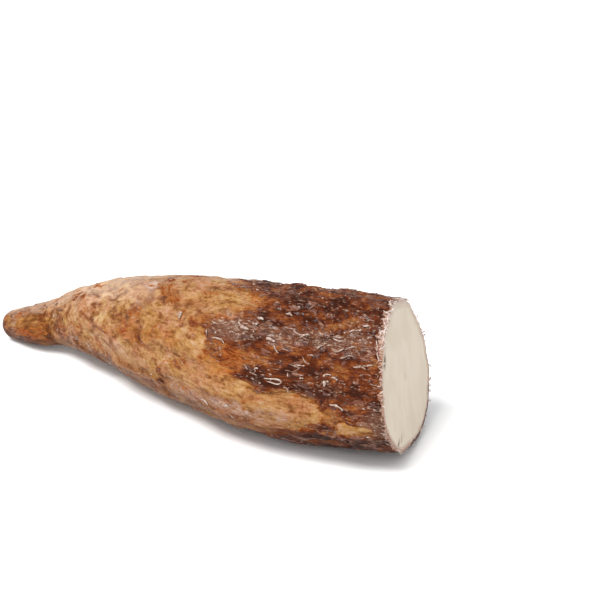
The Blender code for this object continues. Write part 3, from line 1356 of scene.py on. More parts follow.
@dataclass
class RootBody:
    """The root itself: one closed mesh of bark, cut peel and flesh.

    Attributes:
        form: the form that it follows.
        rings: how many rings the bark has.
        dome_rings: how many of them lie in the rounded tip.
        rim_rings: how many of them lie close together before the cut.
        rim_stretch: the stretch before the cut in which they do.
        spokes: how many points a ring has.
        peel_insets: how far inside the rim the rings of the peel's edge lie.
        flesh_insets: how far inside the rim those of the flesh lie.
        crease: how deep the crease is in which the peel meets the flesh.
        crease_inset: how far inside the rim it lies.
        crease_width: how wide it is.
        waves: the waves of the cut face, each with its height and its length.
        bark_line: the thickness of the bark at the cut in the mean, and how much it varies.
        bark_line_angle: the angle at which it is thickest.
        whole: the bare value of a point far from any chipped bark.
        sharp: the angle from which an edge of the mesh is shown sharp.
        atlas: how long a side of the flat map is.
        face_spot: where the middle of the cut face lies on it.
        edge_gap: how far the bark keeps from its sides.
    """

    form: RootForm
    rings: int = 330
    dome_rings: int = 12
    rim_rings: int = 16
    rim_stretch: float = 5.0
    spokes: int = 272
    peel_insets: tuple[float, ...] = (0.35, 0.75, 1.1, 1.5, 2.0)
    flesh_insets: tuple[float, ...] = (2.3, 2.7, 3.3, 4.5, 6.5, 9.0, 12.0, 15.0, 18.0, 21.0, 24.0, 27.0)
    crease: float = 0.3
    crease_inset: float = 2.3
    crease_width: float = 0.45
    waves: tuple[Pair, ...] = ((0.12, 9.0), (0.05, 2.5))
    bark_line: Pair = (0.75, 0.6)
    bark_line_angle: float = 285.0
    whole: float = -5.0
    sharp: float = 50.0
    atlas: float = 290.0
    face_spot: Pair = (257.0, 36.0)
    edge_gap: float = 1.0

    def __post_init__(self) -> None:
        """Start with no points."""
        self.places: list[Vector] = []
        self.values: Values = {key: [] for key in (*Tone, *Trace)}

    def distances(self) -> list[float]:
        """Lay out the rings of bark: close round the tip and at the cut, and evenly between.

        Returns:
            The distance of each ring along the root.
        """
        dome, rim = self.dome_rings, self.rim_rings
        body = self.rings - dome - rim
        reach = self.form.length - self.rim_stretch
        turns = [0.5 * math.pi * (step + 1) / (dome + 1) for step in range(dome)]
        return (
            [-self.form.tip_dome * math.cos(turn) for turn in turns]
            + [reach * step / body for step in range(body)]
            + [reach + self.rim_stretch * step / (rim - 1) for step in range(rim)]
        )

    def degrees(self, step: int) -> float:
        """Give the angle of one point of a ring."""
        return 360.0 * step / self.spokes

    def keep(self, place: Vector, known: dict[Tone | Trace, float | Triple]) -> None:
        """Add one point with what it stores, where what isn't named is 0."""
        self.places.append(place)
        for key, column in self.values.items():
            column.append(known.get(key, 0.0))

    def lay_bark(self) -> list[Sample]:
        """Add the tip and every ring of bark.

        Returns:
            The samples of the last ring, which is the rim of the cut.
        """
        dome = self.form.tip_dome
        self.keep(self.form.axis(-dome)[0], {Trace.GRAIN: (-dome, 0.0, 0.0), Trace.BARE: self.whole})
        for along in self.distances():
            section = self.form.section(along)
            ring = [self.form.sample(section, self.degrees(step)) for step in range(self.spokes)]
            for sample in ring:
                traces = {Trace.GRAIN: sample.grain, Trace.PLATE: sample.plate, Trace.BARE: sample.bare}
                self.keep(sample.place, {**sample.tones, **traces})
        return ring

    def lay_cut(self, rim: list[Sample]) -> None:
        """Add the rings of the cut face, from the rim to its middle.

        Args:
            rim: the samples of the rim.
        """
        thickness, more = self.bark_line
        middle = sum((sample.place for sample in rim), Vector()) / len(rim)
        for inset in (*self.peel_insets, *self.flesh_insets):
            crease = self.crease * math.exp(-((inset - self.crease_inset) / self.crease_width) ** 2)
            for step, sample in enumerate(rim):
                degrees = self.degrees(step)
                slits = [(slit.at(degrees, inset), slit.depth) for slit in SLITS]
                spoke = middle - sample.place
                place = sample.place + spoke * (inset / spoke.length)
                wave = sum(height * noise.noise(place / length) for height, length in self.waves)
                sunk = crease + sum(share * depth for share, depth in slits)
                place += self.form.facing * (wave * smoothstep(0.0, 1.0, inset) - sunk)
                self.keep(place, {
                    Trace.GRAIN: tuple(place),
                    Trace.BARE: sample.bare,
                    Trace.INSET: inset,
                    Trace.CORE: (middle - place).length,
                    Trace.EDGE: thickness + more * math.cos(math.radians(degrees - self.bark_line_angle)),
                    Trace.SLIT: max(share for share, _ in slits),
                })
        self.keep(middle, {Trace.GRAIN: tuple(middle)})

    def bark_spot(self, ring: int, step: int) -> Pair:
        """Give the place of one point of the bark on the flat map."""
        along = self.values[Trace.GRAIN][1 + ring * self.spokes][0] + self.form.tip_dome + self.edge_gap
        around = math.tau * max(station[3] for station in self.form.stations) * step / self.spokes
        return along / self.atlas, (self.edge_gap + around) / self.atlas

    def cut_spot(self, ring: int, step: int) -> Pair:
        """Give the place of one point of the cut face, or of its rim, on the flat map."""
        index = min(1 + ring * self.spokes + step % self.spokes, len(self.places) - 1)
        offset = self.places[index] - self.places[-1]
        across, up = self.face_spot
        return (across + offset.y) / self.atlas, (up + offset.z) / self.atlas

    def faces(self) -> tuple[list[tuple[int, ...]], list[Skin], list[Pair]]:
        """List the faces of the mesh.

        Returns:
            The corners of each face, its material and the place of each corner on the flat map.
        """
        corners, skins, flat = [], [], []
        rings = (len(self.places) - 2) // self.spokes
        last = len(self.places) - 1
        flesh_start = self.rings - 1 + len(self.peel_insets)
        tip_spot = (0.5 * self.edge_gap / self.atlas, self.bark_spot(0, self.spokes // 2)[1])
        for step in range(self.spokes):
            following = (step + 1) % self.spokes
            corners.append((0, 1 + following, 1 + step))
            skins.append(Skin.BARK)
            flat += [tip_spot, self.bark_spot(0, step + 1), self.bark_spot(0, step)]
            for ring in range(rings - 1):
                base = 1 + ring * self.spokes
                ahead = base + self.spokes
                corners.append((base + step, base + following, ahead + following, ahead + step))
                on_bark = ring < self.rings - 1
                skins.append(Skin.BARK if on_bark else Skin.PEEL if ring < flesh_start else Skin.FLESH)
                spot = self.bark_spot if on_bark else self.cut_spot
                flat += [spot(ring, step), spot(ring, step + 1)]
                flat += [spot(ring + 1, step + 1), spot(ring + 1, step)]
            base = 1 + (rings - 1) * self.spokes
            corners.append((base + step, base + following, last))
            skins.append(Skin.FLESH)
            flat += [self.cut_spot(rings - 1, step), self.cut_spot(rings - 1, step + 1)]
            flat.append(self.cut_spot(rings, 0))
        return corners, skins, flat

    def build(self, finishes: Iterable[bpy.types.Material]) -> bpy.types.Object:
        """Make the root and put it in place of the plain solid.

        Args:
            finishes: the materials, in the order of Skin.

        Returns:
            The finished piece.
        """
        self.lay_cut(self.lay_bark())
        corners, skins, flat = self.faces()
        piece = make_piece("root_body", self.places, corners, self.values, flat, finishes)
        piece.data.polygons.foreach_set("material_index", [int(skin) for skin in skins])
        piece.data.set_sharp_from_angle(angle=math.radians(self.sharp))
        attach(piece, BODY)
        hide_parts(NODE)
        return piece

    def surface(self) -> "BarkSurface":
        """Hand the meshed bark to the scraps that lie on it.

        Returns:
            The bark's rings with their tones.
        """
        bark = slice(1, 1 + self.rings * self.spokes)
        grid = np.array(self.places[bark]).reshape(self.rings, self.spokes, 3)
        tones = {tone: np.array(self.values[tone][bark]).reshape(self.rings, self.spokes) for tone in Tone}
        return BarkSurface(np.array(self.distances()), grid, tones, np.array(self.form.facing))


def make_piece(
    name: str,
    places: Sequence[Iterable[float]],
    corners: Sequence[Sequence[int]],
    values: Values,
    flat: Sequence[Pair],
    finishes: Iterable[bpy.types.Material],
) -> bpy.types.Object:
    """Turn lists of points and faces into an object.

    Args:
        name: the object's name.
        places: the points.
        corners: the corners of each face.
        values: what each point stores; the grain is three numbers and the others are one.
        flat: the place of each corner on the flat map.
        finishes: the materials.

    Returns:
        The object, shaded smooth and linked to the scene.
    """
    mesh = bpy.data.meshes.new(name)
    mesh.from_pydata([tuple(value * MM for value in place) for place in places], [], corners)
    for key, column in values.items():
        kind, part = ("FLOAT_VECTOR", "vector") if key is Trace.GRAIN else ("FLOAT", "value")
        layer = mesh.attributes.new(key.value, kind, "POINT")
        layer.data.foreach_set(part, np.array(column, dtype=np.float32).ravel())
    uv_map = mesh.uv_layers.new(name=BAKE_MAP)
    uv_map.data.foreach_set("uv", np.array(flat, dtype=np.float32).ravel())
    for finish in finishes:
        mesh.materials.append(finish)
    mesh.shade_smooth()
    piece = bpy.data.objects.new(name, mesh)
    bpy.context.scene.collection.objects.link(piece)
    return piece


def unit(vectors: np.ndarray) -> np.ndarray:
    """Scale each vector of a list to the length 1."""
    return vectors / (np.linalg.norm(vectors, axis=-1, keepdims=True) + 1e-9)


@dataclass
class BarkSurface:
    """The meshed bark, read at any distance and angle, for scraps to lie on.

    Attributes:
        rows: the distance of each ring along the root.
        grid: the points of the rings.
        tones: the tones at the same points.
        facing: the way that the cut faces.
        softening: how many times the bark is smoothed before its directions are read.
        floor_gap: how far the scraps keep above the floor.
    """

    rows: np.ndarray
    grid: np.ndarray
    tones: dict[Tone, np.ndarray]
    facing: np.ndarray
    softening: int = 3
    floor_gap: float = 0.02

    def __post_init__(self) -> None:
        """Work out which way the bark faces and how thick the root is."""
        soft = self.grid
        for _ in range(self.softening):
            padded = np.concatenate((soft[:1], soft, soft[-1:]))
            soft = (padded[:-2] + padded[2:] + np.roll(soft, 1, 1) + np.roll(soft, -1, 1)) / 4.0
        around = np.roll(soft, -1, 1) - np.roll(soft, 1, 1)
        self.normals = unit(np.cross(around, np.gradient(soft, axis=0)))
        spokes = self.grid - self.grid.mean(axis=1, keepdims=True)
        self.radii = np.linalg.norm(spokes, axis=2).mean(axis=1)
        self.end = float(self.rows[-1])

    def read(self, table: np.ndarray, along: np.ndarray, degrees: np.ndarray) -> np.ndarray:
        """Read one table of the grid between its points.

        Args:
            table: what is read, laid out as the grid.
            along: distances along the root.
            degrees: angles round it.

        Returns:
            The values there.
        """
        row = np.interp(along, self.rows, np.arange(len(self.rows)))
        column = np.asarray(degrees) / 360.0 * table.shape[1]
        low_row = np.minimum(row.astype(int), len(self.rows) - 2)
        low_column = np.floor(column).astype(int)
        ahead, beside = row - low_row, column - low_column
        if table.ndim == 3:
            ahead, beside = ahead[..., None], beside[..., None]
        first, second = low_column % table.shape[1], (low_column + 1) % table.shape[1]
        return (
            (table[low_row, first] * (1 - beside) + table[low_row, second] * beside) * (1 - ahead)
            + (table[low_row + 1, first] * (1 - beside) + table[low_row + 1, second] * beside) * ahead
        )

    def at(self, along: np.ndarray, degrees: np.ndarray, lift: np.ndarray | float) -> np.ndarray:
        """Give points above the bark.

        Args:
            along: distances along the root; those past the rim stand out from the cut.
            degrees: angles round it.
            lift: heights above the bark; negative ones lie under it.

        Returns:
            The points, none of them below the floor.
        """
        lift = np.broadcast_to(lift, np.shape(along))[..., None]
        places = self.read(self.grid, along, degrees) + self.read(self.normals, along, degrees) * lift
        places = places + self.facing * np.maximum(along - self.end, 0.0)[..., None]
        places[..., 2] = np.maximum(places[..., 2], self.floor_gap)
        return places

    def spot(self, along: float, degrees: float, lift: float) -> np.ndarray:
        """Give one point above the bark."""
        return self.at(np.array([along]), np.array([degrees]), lift)[0]

    def tone(self, tone: Tone, along: float, degrees: float) -> float:
        """Give the value of one tone at one point."""
        return float(self.read(self.tones[tone], np.array([along]), np.array([degrees]))[0])

    def turn(self, along: float, across: np.ndarray) -> np.ndarray:
        """Turn distances round the root into angles, where it is as thick as at one distance along it."""
        return np.degrees(across / np.interp(along, self.rows, self.radii))


@dataclass(frozen=True)
class Chip:
    """One leaf-shaped scrap.

    Attributes:
        along: the distance of its middle along the root.
        angle: its angle round the root.
        length: half of its length.
        width: half of its width.
        slant: how far its length turns away from the root's.
        rise: how high its middle stands.
        curl: how high the edge on its lifted side stands.
        lean: which side is lifted, in radians.
        bend: how far its ends bend to one side, as a share of its length.
        thickness: how thick it is.
        ragged: how uneven its outline is.
    """

    along: float
    angle: float
    length: float
    width: float
    slant: float
    rise: float
    curl: float
    lean: float
    bend: float
    ragged: float
    thickness: float = 0.15


@dataclass(frozen=True)
class Strip:
    """One narrow strip with an arched section, such as a rolled-up shred of waxed bark.

    Attributes:
        along: the distance of its middle along the root.
        angle: the angle of its middle round the root.
        length: how long it is.
        width: how wide it is in its middle.
        heading: which way its middle runs, from straight along the root towards a greater angle.
        turn: how far it bends on its way.
        lift: how high its far end stands.
        height: how high its arch is, as a share of its width.
        shade: how pale it is, from 0 to 1.
        sway: how much it wavers on its way.
        reach: how far it may stand out past the cut.
        tight: the share of its length in which it bends.
    """

    along: float
    angle: float
    length: float
    width: float
    heading: float
    turn: float
    lift: float
    height: float
    shade: float
    sway: float = 14.0
    reach: float = 0.0
    tight: float = 1.0


@dataclass(frozen=True)
class Odds:
    """How likely a scrap is to lie at one place of the bark.

    Attributes:
        margins: how far it keeps from the first station and from the rim.
        anywhere: the chance that it has everywhere.
        on_outer: how much the outer bark adds to it.
        outer_edge: the values of the outer tone between which that comes in.
        on_bloom: how much a bloom of the value 1 adds to it.
    """

    margins: Pair
    anywhere: float
    on_outer: float
    outer_edge: Pair
    on_bloom: float


@dataclass
class Litter(ABC):
    """Small closed scraps of bark or wax, gathered in one mesh.

    Each scrap has its own cell of the flat map: its upper side in the left half, the rest in the right.

    Attributes:
        surface: the bark that they lie on.
        name: the piece's name.
        seed: where its random draws start.
        count: how many scraps it has.
        finish: what they are made of.
        spokes: how many points a ring of a chip has.
        circles: how far out the rings of a chip lie, in shares of its half sizes.
        clearance: how far the sides of a chip stand off the bark.
        root_depth: how deep its underside may lie.
        foot_depth: how deep the middle of its underside lies.
        least_steps: how many rows of points a strip has at least.
        step_length: how far apart they are on a long one.
        arch: how many points its arched side has.
        keel: how deep the lower edge of a strip lies, as a share of its width.
        probe: how far off the bark the way up is measured.
        blunt: the part of a half wave that gives the widths of a strip, by its start and its length.
        fullness: the power of that half wave; a small one keeps the strip wide.
        peel_off: the power with which a strip lifts towards its far end.
        width_jitter: how much its width varies, as shares.
        shade_jitter: how much its shade varies, as shares.
        chip_cell: where the middle of a chip lies in its cell of the flat map, and how far it reaches.
        strip_cell: where a strip starts in its cell, and how far it reaches.
    """

    surface: BarkSurface
    name: str
    seed: int
    count: int
    finish: ScrapFinish
    spokes: int = 12
    circles: Triple = (0.5, 0.82, 1.0)
    clearance: float = 0.05
    root_depth: float = 0.25
    foot_depth: float = 0.3
    least_steps: int = 9
    step_length: float = 0.7
    arch: int = 5
    keel: float = 0.15
    probe: float = 0.3
    blunt: Pair = (0.08, 0.84)
    fullness: float = 0.6
    peel_off: float = 1.5
    width_jitter: Pair = (0.55, 1.35)
    shade_jitter: Pair = (0.45, 1.1)
    chip_cell: tuple[Pair, Pair] = ((0.25, 0.5), (0.2, 0.45))
    strip_cell: tuple[Pair, Pair] = ((0.04, 0.05), (0.42, 0.9))

    def __post_init__(self) -> None:
        """Start the random draws, with no scraps."""
        self.draw = random.Random(self.seed)
        self.places: list[np.ndarray] = []
        self.values: Values = {key: [] for key in (Trace.GRAIN, *Mark)}
        self.local: list[Pair] = []
        self.corners: list[tuple[int, ...]] = []
        self.marks: list[tuple[int, bool]] = []
        self.scraps = 0

    @abstractmethod
    def scatter(self) -> None:
        """Lay all the scraps."""

    def spots(self, odds: Odds) -> Iterator[Pair]:
        """Draw places on the bark until the piece has all its scraps.

        Args:
            odds: how likely a scrap is to lie at one place.

        Yields:
            The distance along the root and the angle round it of the next scrap.
        """
        start, end = odds.margins
        while self.scraps < self.count:
            along = self.draw.uniform(start, self.surface.end - end)
            angle = self.draw.uniform(0.0, 360.0)
            outer = self.surface.tone(Tone.OUTER, along, angle)
            bloom = self.surface.tone(Tone.BLOOM, along, angle)
            outer = smoothstep(*odds.outer_edge, outer)
            if self.draw.random() <= odds.anywhere + odds.on_outer * outer + odds.on_bloom * bloom:
                yield along, angle

    def keep(self, place: np.ndarray, shade: float, rim: float, local: Pair) -> int:
        """Add one point.

        Args:
            place: where it is.
            shade: its shade, from 0 to 1.
            rim: how near the edge of its scrap it is, from 0 to 1.
            local: its place in its cell of the flat map.

        Returns:
            The number of the point.
        """
        self.places.append(place)
        self.values[Trace.GRAIN].append(tuple(place))
        self.values[Mark.SHADE].append(shade)
        self.values[Mark.RIM].append(rim)
        self.local.append(local)
        return len(self.places) - 1

    def face(self, corners: tuple[int, ...], upper: bool) -> None:
        """Add one face of the scrap in hand, by the numbers of its points."""
        self.corners.append(corners)
        self.marks.append((self.scraps, upper))

    def chip_ring(self, places: np.ndarray, rims: np.ndarray, radius: float, shade: float) -> list[int]:
        """Add one ring of a chip.

        Args:
            places: the points of the ring.
            rims: how near the lifted edge each of them is.
            radius: how far out the ring lies, from 0 to 1.
            shade: the chip's shade.

        Returns:
            The numbers of the points.
        """
        (across, ahead), (wide, long) = self.chip_cell
        ring = []
        for spoke, (place, rim) in enumerate(zip(places, rims)):
            turn = spoke / self.spokes * math.tau
            local = (across + wide * radius * math.cos(turn), ahead + long * radius * math.sin(turn))
            ring.append(self.keep(place, shade, float(rim), local))
        return ring

    def lay_chip(self, chip: Chip, shade: float) -> None:
        """Lay one leaf-shaped scrap on the bark.

        Args:
            chip: its place, size and form.
            shade: its shade, from 0 to 1.
        """
        angle = np.arange(self.spokes) / self.spokes * math.tau
        ragged = 1.0 + chip.ragged * np.array([self.draw.uniform(-1.0, 1.0) for _ in range(self.spokes)])
        circles = np.array(self.circles)[:, None]
        ahead = chip.length * circles * np.cos(angle) * ragged
        across = chip.width * circles * np.sin(angle) * ragged
        across = across + chip.bend * (ahead / chip.length) ** 2 * chip.length
        slant = math.radians(chip.slant)
        along = chip.along + ahead * math.cos(slant) - across * math.sin(slant)
        along = np.minimum(along, self.surface.end)
        over = ahead * math.sin(slant) + across * math.cos(slant)
        degrees = chip.angle + self.surface.turn(chip.along, over)
        lean = np.clip(np.sin(angle - chip.lean), 0.0, 1.0) ** 2
        height = chip.rise * (1.0 - circles ** 2) + chip.curl * circles ** 2 * lean
        rims = circles * lean
        upper = self.surface.at(along, degrees, height + self.clearance)
        depth = np.maximum(height - chip.thickness, -self.root_depth)
        under = self.surface.at(along, degrees, depth - self.clearance)
        top = self.surface.spot(chip.along, chip.angle, chip.rise + self.clearance)
        first = self.keep(top, shade, 0.0, self.chip_cell[0])
        widest = len(self.circles) - 1
        rings = [
            self.chip_ring(side[number], rims[number], self.circles[number], shade)
            for side, numbers in ((upper, range(widest + 1)), (under, (widest, 0))) for number in numbers
        ]
        foot = self.surface.spot(chip.along, chip.angle, -self.foot_depth)
        last = self.keep(foot, shade, 0.0, self.chip_cell[0])
        for spoke in range(self.spokes):
            following = (spoke + 1) % self.spokes
            self.face((first, rings[0][spoke], rings[0][following]), True)
            for number, (ring, outer) in enumerate(zip(rings, rings[1:])):
                self.face((ring[spoke], outer[spoke], outer[following], ring[following]), number < widest)
            self.face((last, rings[-1][following], rings[-1][spoke]), False)
        self.scraps += 1

    def strip_path(self, strip: Strip, share: np.ndarray) -> tuple[np.ndarray, np.ndarray, np.ndarray]:
        """Lead the middle line of a strip over the bark.

        Args:
            strip: its place, size and form.
            share: where its rows of points lie, from 0 at its near end to 1.

        Returns:
            The points of the line, with the ways to its side and upwards at each of them.
        """
        sway = np.cumsum([self.draw.gauss(0.0, strip.sway) for _ in share])
        bent = np.clip((share - 0.5) / strip.tight + 0.5, 0.0, 1.0)
        way = strip.heading + strip.turn * (bent * bent * (3.0 - 2.0 * bent) - 0.5) + sway - sway.mean()
        way = np.radians(way)
        step = strip.length / (len(share) - 1)
        ahead = np.concatenate(([0.0], np.cumsum(np.cos(way[:-1])) * step))
        across = np.concatenate(([0.0], np.cumsum(np.sin(way[:-1])) * step))
        along = np.minimum(strip.along + ahead - ahead.mean(), self.surface.end + strip.reach)
        degrees = strip.angle + self.surface.turn(strip.along, across - across.mean())
        lift = strip.lift * share ** self.peel_off
        path = self.surface.at(along, degrees, lift)
        ups = unit(self.surface.at(along, degrees, lift + self.probe) - path)
        return path, unit(np.cross(ups, np.gradient(path, axis=0))), ups

    def lay_strip(self, strip: Strip) -> None:
        """Lay one narrow strip that follows the bark.

        Args:
            strip: its place, size and form.
        """
        steps = max(self.least_steps, round(strip.length / self.step_length))
        share = np.linspace(0.0, 1.0, steps)
        path, sides, ups = self.strip_path(strip, share)
        jitter = np.array([self.draw.uniform(*self.width_jitter) for _ in share])
        start, span = self.blunt
        widths = strip.width * jitter * np.sin(math.pi * (start + span * share)) ** self.fullness
        shades = [strip.shade * self.draw.uniform(*self.shade_jitter) for _ in share]
        arch = np.linspace(0.0, math.pi, self.arch)
        outline = [(0.5 * math.cos(turn), strip.height * math.sin(turn)) for turn in arch]
        outline.append((0.0, -self.keel))
        rims = [abs(math.cos(turn)) for turn in arch] + [1.0]
        (left, near), (wide, long) = self.strip_cell
        rows = []
        for point, side, up, width, shade, part in zip(path, sides, ups, widths, shades, share):
            row = []
            for corner, ((over, rise), rim) in enumerate(zip(outline, rims)):
                place = point + side * width * over + up * width * rise
                place[2] = max(place[2], self.surface.floor_gap)
                local = (left + wide * corner / self.arch, near + long * part)
                row.append(self.keep(place, shade, rim, local))
            rows.append(row)
        for row, ahead in zip(rows, rows[1:]):
            for corner in range(len(outline)):
                other = (corner + 1) % len(outline)
                self.face((row[corner], row[other], ahead[other], ahead[corner]), corner < self.arch - 1)
        self.face(tuple(reversed(rows[0])), False)
        self.face(tuple(rows[-1]), False)
        self.scraps += 1

    def build(self) -> bpy.types.Object:
        """Lay the scraps and make the piece from them.

        Returns:
            The finished piece.
        """
        self.scatter()
        cells = math.ceil(math.sqrt(self.scraps))
        flat = []
        for corners, (scrap, upper) in zip(self.corners, self.marks):
            row, column = divmod(scrap, cells)
            for corner in corners:
                across, ahead = self.local[corner]
                flat.append(((column + across + (0.0 if upper else 0.5)) / cells, (row + ahead) / cells))
        piece = make_piece(self.name, self.places, self.corners, self.values, flat, [self.finish.build()])
        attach(piece, BODY)
        return piece


# The rolled shreds that stand out in the picture.
CURLS = (
    Strip(167.6, 167.2, 11, 0.9, 90, 184, 0.3, 0.45, 1.1, sway=5, tight=0.38),
    Strip(172, 172.5, 3.4, 0.9, 50, 20, 0.3, 0.45, 0.7),
    Strip(144.5, 145.5, 6.5, 0.9, 16, 30, 0.3, 0.40, 0.75, sway=8),
    Strip(150, 132, 6, 0.8, 6, 10, 0.2, 0.45, 0.5),
    Strip(153.5, 132.5, 6, 1.6, 24, 30, 0.4, 0.35, 0.9),
    Strip(159, 124.5, 2.6, 1.6, 10, 80, 0.3, 0.45, 1),
    Strip(158, 129, 2.8, 1.5, -30, -60, 0.3, 0.45, 1),
    Strip(165.3, 138, 3.6, 1.8, 10, 40, 0.3, 0.4, 0.85),
    Strip(167.6, 143, 4.8, 0.8, 62, -30, 0.3, 0.45, 0.7),
    Strip(170.5, 143.5, 3.6, 0.6, 4, 20, 0.2, 0.45, 0.6),
    Strip(170.5, 126.5, 5, 0.9, 0, 20, 0.3, 0.4, 0.55),
    Strip(174, 129, 6.4, 1.2, 14, -30, 0.4, 0.4, 0.75),
    Strip(176.5, 130.5, 4.4, 1, -20, 90, 0.4, 0.45, 0.9),
    Strip(168.5, 115, 3.2, 1.4, 20, 60, 0.3, 0.45, 1),
    Strip(172, 161, 1.8, 0.7, 70, 0, 0.3, 0.45, 0.9),
    Strip(177, 162.5, 1.6, 1, 0, 40, 0.3, 0.45, 1),
    Strip(176, 153, 4.6, 0.6, -4, 10, 0.3, 0.45, 0.9),
    Strip(175, 156.5, 4.2, 0.6, -40, 30, 0.3, 0.45, 0.5),
    Strip(188.6, 158.4, 4.2, 0.9, -8, 50, 0.3, 0.45, 1, sway=8),
    Strip(192.2, 160.4, 3.4, 0.8, 16, 40, 0.3, 0.45, 0.9),
    Strip(187.6, 165, 2.6, 1.6, 76, 40, 0.4, 0.45, 1),
    Strip(189, 163.4, 1.8, 1, 20, 30, 0.3, 0.45, 0.8),
    Strip(192, 128, 5.6, 0.9, -4, 30, 0.4, 0.4, 0.7),
    Strip(192.2, 130.5, 5.4, 0.9, 2, -20, 0.3, 0.4, 0.85),
    Strip(193, 138.5, 6.6, 1, -4, -30, 0.4, 0.45, 0.8),
    Strip(198.6, 135.5, 5.6, 0.9, -14, 40, 0.5, 0.45, 0.75),
    Strip(197.5, 143, 7, 0.8, -6, 30, 0.3, 0.45, 0.65),
    Strip(203, 149.5, 5.6, 0.9, 8, 30, 0.4, 0.45, 0.7),
    Strip(206.3, 147.5, 4, 0.9, -6, -30, 0.4, 0.45, 0.7),
    Strip(198, 122, 3, 1.1, -10, 40, 0.3, 0.45, 0.8),
    Strip(201, 120.5, 3.2, 1.2, -20, -50, 0.3, 0.45, 0.85),
    Strip(203.8, 116, 3, 1.6, 10, 60, 0.3, 0.45, 1),
    Strip(184, 138, 3.2, 1.1, -30, 60, 0.3, 0.45, 0.8),
    Strip(180.5, 145, 3.4, 0.8, 10, 20, 0.3, 0.45, 0.6),
    Strip(193.2, 181.5, 6.6, 1, 12, 30, 0.5, 0.4, 0.95),
    Strip(122, 134, 3.2, 2.2, 80, 50, 0.2, 0.4, 1.1),
    Strip(140, 199, 3.4, 1.2, 24, 20, 0.2, 0.35, 0.95),
    Strip(150, 195, 2.4, 1.2, -20, 60, 0.2, 0.35, 0.9),
    Strip(139, 142, 3, 1.1, 80, 40, 0.3, 0.4, 0.8),
    Strip(158, 160, 2.4, 0.7, 60, 0, 0.3, 0.4, 0.7),
    Strip(161.5, 160, 2, 0.9, -20, 40, 0.3, 0.45, 0.9),
)

# The frayed shreds at the top of the cut; their distances are counted from its rim.
TOP_SHREDS = (
    Strip(0.3, 62, 5.5, 1.1, 80, -40, 0.5, 0.35, 0.95, reach=1.6),
    Strip(0.2, 72, 7.5, 1.1, 88, 20, 0.6, 0.35, 1, reach=1.6),
    Strip(0.8, 79, 6, 0.9, 84, -20, 0.3, 0.35, 0.7, reach=1.8),
    Strip(0.2, 85, 6, 1, 96, 20, 0.8, 0.35, 1, reach=1.6),
    Strip(-0.8, 91, 4.4, 0.9, 50, 40, 0.7, 0.35, 0.95, reach=1.4),
    Strip(0.2, 97, 4.5, 1, 100, 30, 0.8, 0.35, 1, reach=1.6),
    Strip(-1.2, 101, 4, 0.8, 20, -40, 0.6, 0.35, 0.9, reach=1.4),
    Strip(0, 106, 5, 0.9, 84, 30, 0.7, 0.35, 1, reach=1.4),
    Strip(-0.9, 111, 4, 0.8, 60, -30, 0.5, 0.35, 0.9, reach=1.2),
    Strip(-0.2, 117, 5.5, 0.8, 92, 10, 0.4, 0.35, 0.95, reach=1.2),
    Strip(-0.6, 126, 5.5, 0.8, 90, -10, 0.4, 0.35, 0.9, reach=1.2),
    Strip(-2.2, 121, 4.5, 0.6, 88, 20, 0.3, 0.35, 0.8),
    Strip(-2.8, 131, 5, 0.6, 86, 10, 0.3, 0.35, 0.7),
    Strip(-2, 139, 4, 0.6, 80, 30, 0.3, 0.35, 0.7),
)


@dataclass(kw_only=True)
class Chips(Litter):
    """Leaf-shaped scraps, scattered by their ranges.

    A pair is the least and the most of what is drawn, and for the slants and the bends the mean and the
    spread. The lengths are half lengths, and the slimness is the share of them that the half width has.
    """

    odds: Odds
    lengths: Pair
    slimness: Pair
    slants: Pair
    rises: Pair
    curls: Pair
    bends: Pair
    ragged: float
    shades: Pair

    @abstractmethod
    def lean(self) -> float:
        """Draw which side of a chip is lifted."""

    def scatter(self) -> None:
        """Lay the chips."""
        for along, angle in self.spots(self.odds):
            length = self.draw.uniform(*self.lengths)
            chip = Chip(
                along,
                angle,
                length,
                width=length * self.draw.uniform(*self.slimness),
                slant=self.draw.gauss(*self.slants),
                rise=self.draw.uniform(*self.rises),
                curl=self.draw.uniform(*self.curls),
                lean=self.lean(),
                bend=self.draw.gauss(*self.bends),
                ragged=self.ragged,
            )
            self.lay_chip(chip, self.draw.uniform(*self.shades))


@dataclass
class BarkFlakes(Chips):
    """Papery flakes of outer bark whose edges have lifted, most of them where it is left.

    Attributes:
        sides: the sides that may be lifted, in radians.
        side_spread: how far the lifted side wanders from them.
    """

    name: str = "bark_flakes"
    seed: int = 11
    count: int = 420
    finish: ScrapFinish = CURLED_BARK
    odds: Odds = Odds((8.0, 1.5), 0.0, 1.0, (-0.15, 0.35), 0.0)
    lengths: Pair = (0.8, 2.6)
    slimness: Pair = (0.2, 0.42)
    slants: Pair = (4.0, 20.0)
    rises: Pair = (0.0, 0.12)
    curls: Pair = (0.1, 0.5)
    bends: Pair = (0.0, 0.2)
    ragged: float = 0.32
    shades: Pair = (0.0, 1.0)
    sides: Pair = (0.0, math.pi)
    side_spread: float = 0.5

    def lean(self) -> float:
        """Draw which side of a flake is lifted: one of its long ones."""
        return self.draw.choice(self.sides) + self.draw.gauss(0.0, self.side_spread)


@dataclass
class WaxFlecks(Chips):
    """Whitish crumbs of wax, most of them where the bark has a grey bloom."""

    name: str = "wax_flecks"
    seed: int = 23
    count: int = 420
    finish: ScrapFinish = WAX
    odds: Odds = Odds((5.0, 1.0), 0.03, 0.25, (-0.3, 0.3), 0.7)
    lengths: Pair = (0.2, 0.7)
    slimness: Pair = (0.35, 0.8)
    slants: Pair = (0.0, 30.0)
    rises: Pair = (0.05, 0.2)
    curls: Pair = (0.0, 0.25)
    bends: Pair = (0.0, 0.2)
    ragged: float = 0.35
    shades: Pair = (0.2, 1.0)

    def lean(self) -> float:
        """Draw which side of a crumb is lifted: any."""
        return self.draw.uniform(0.0, math.tau)


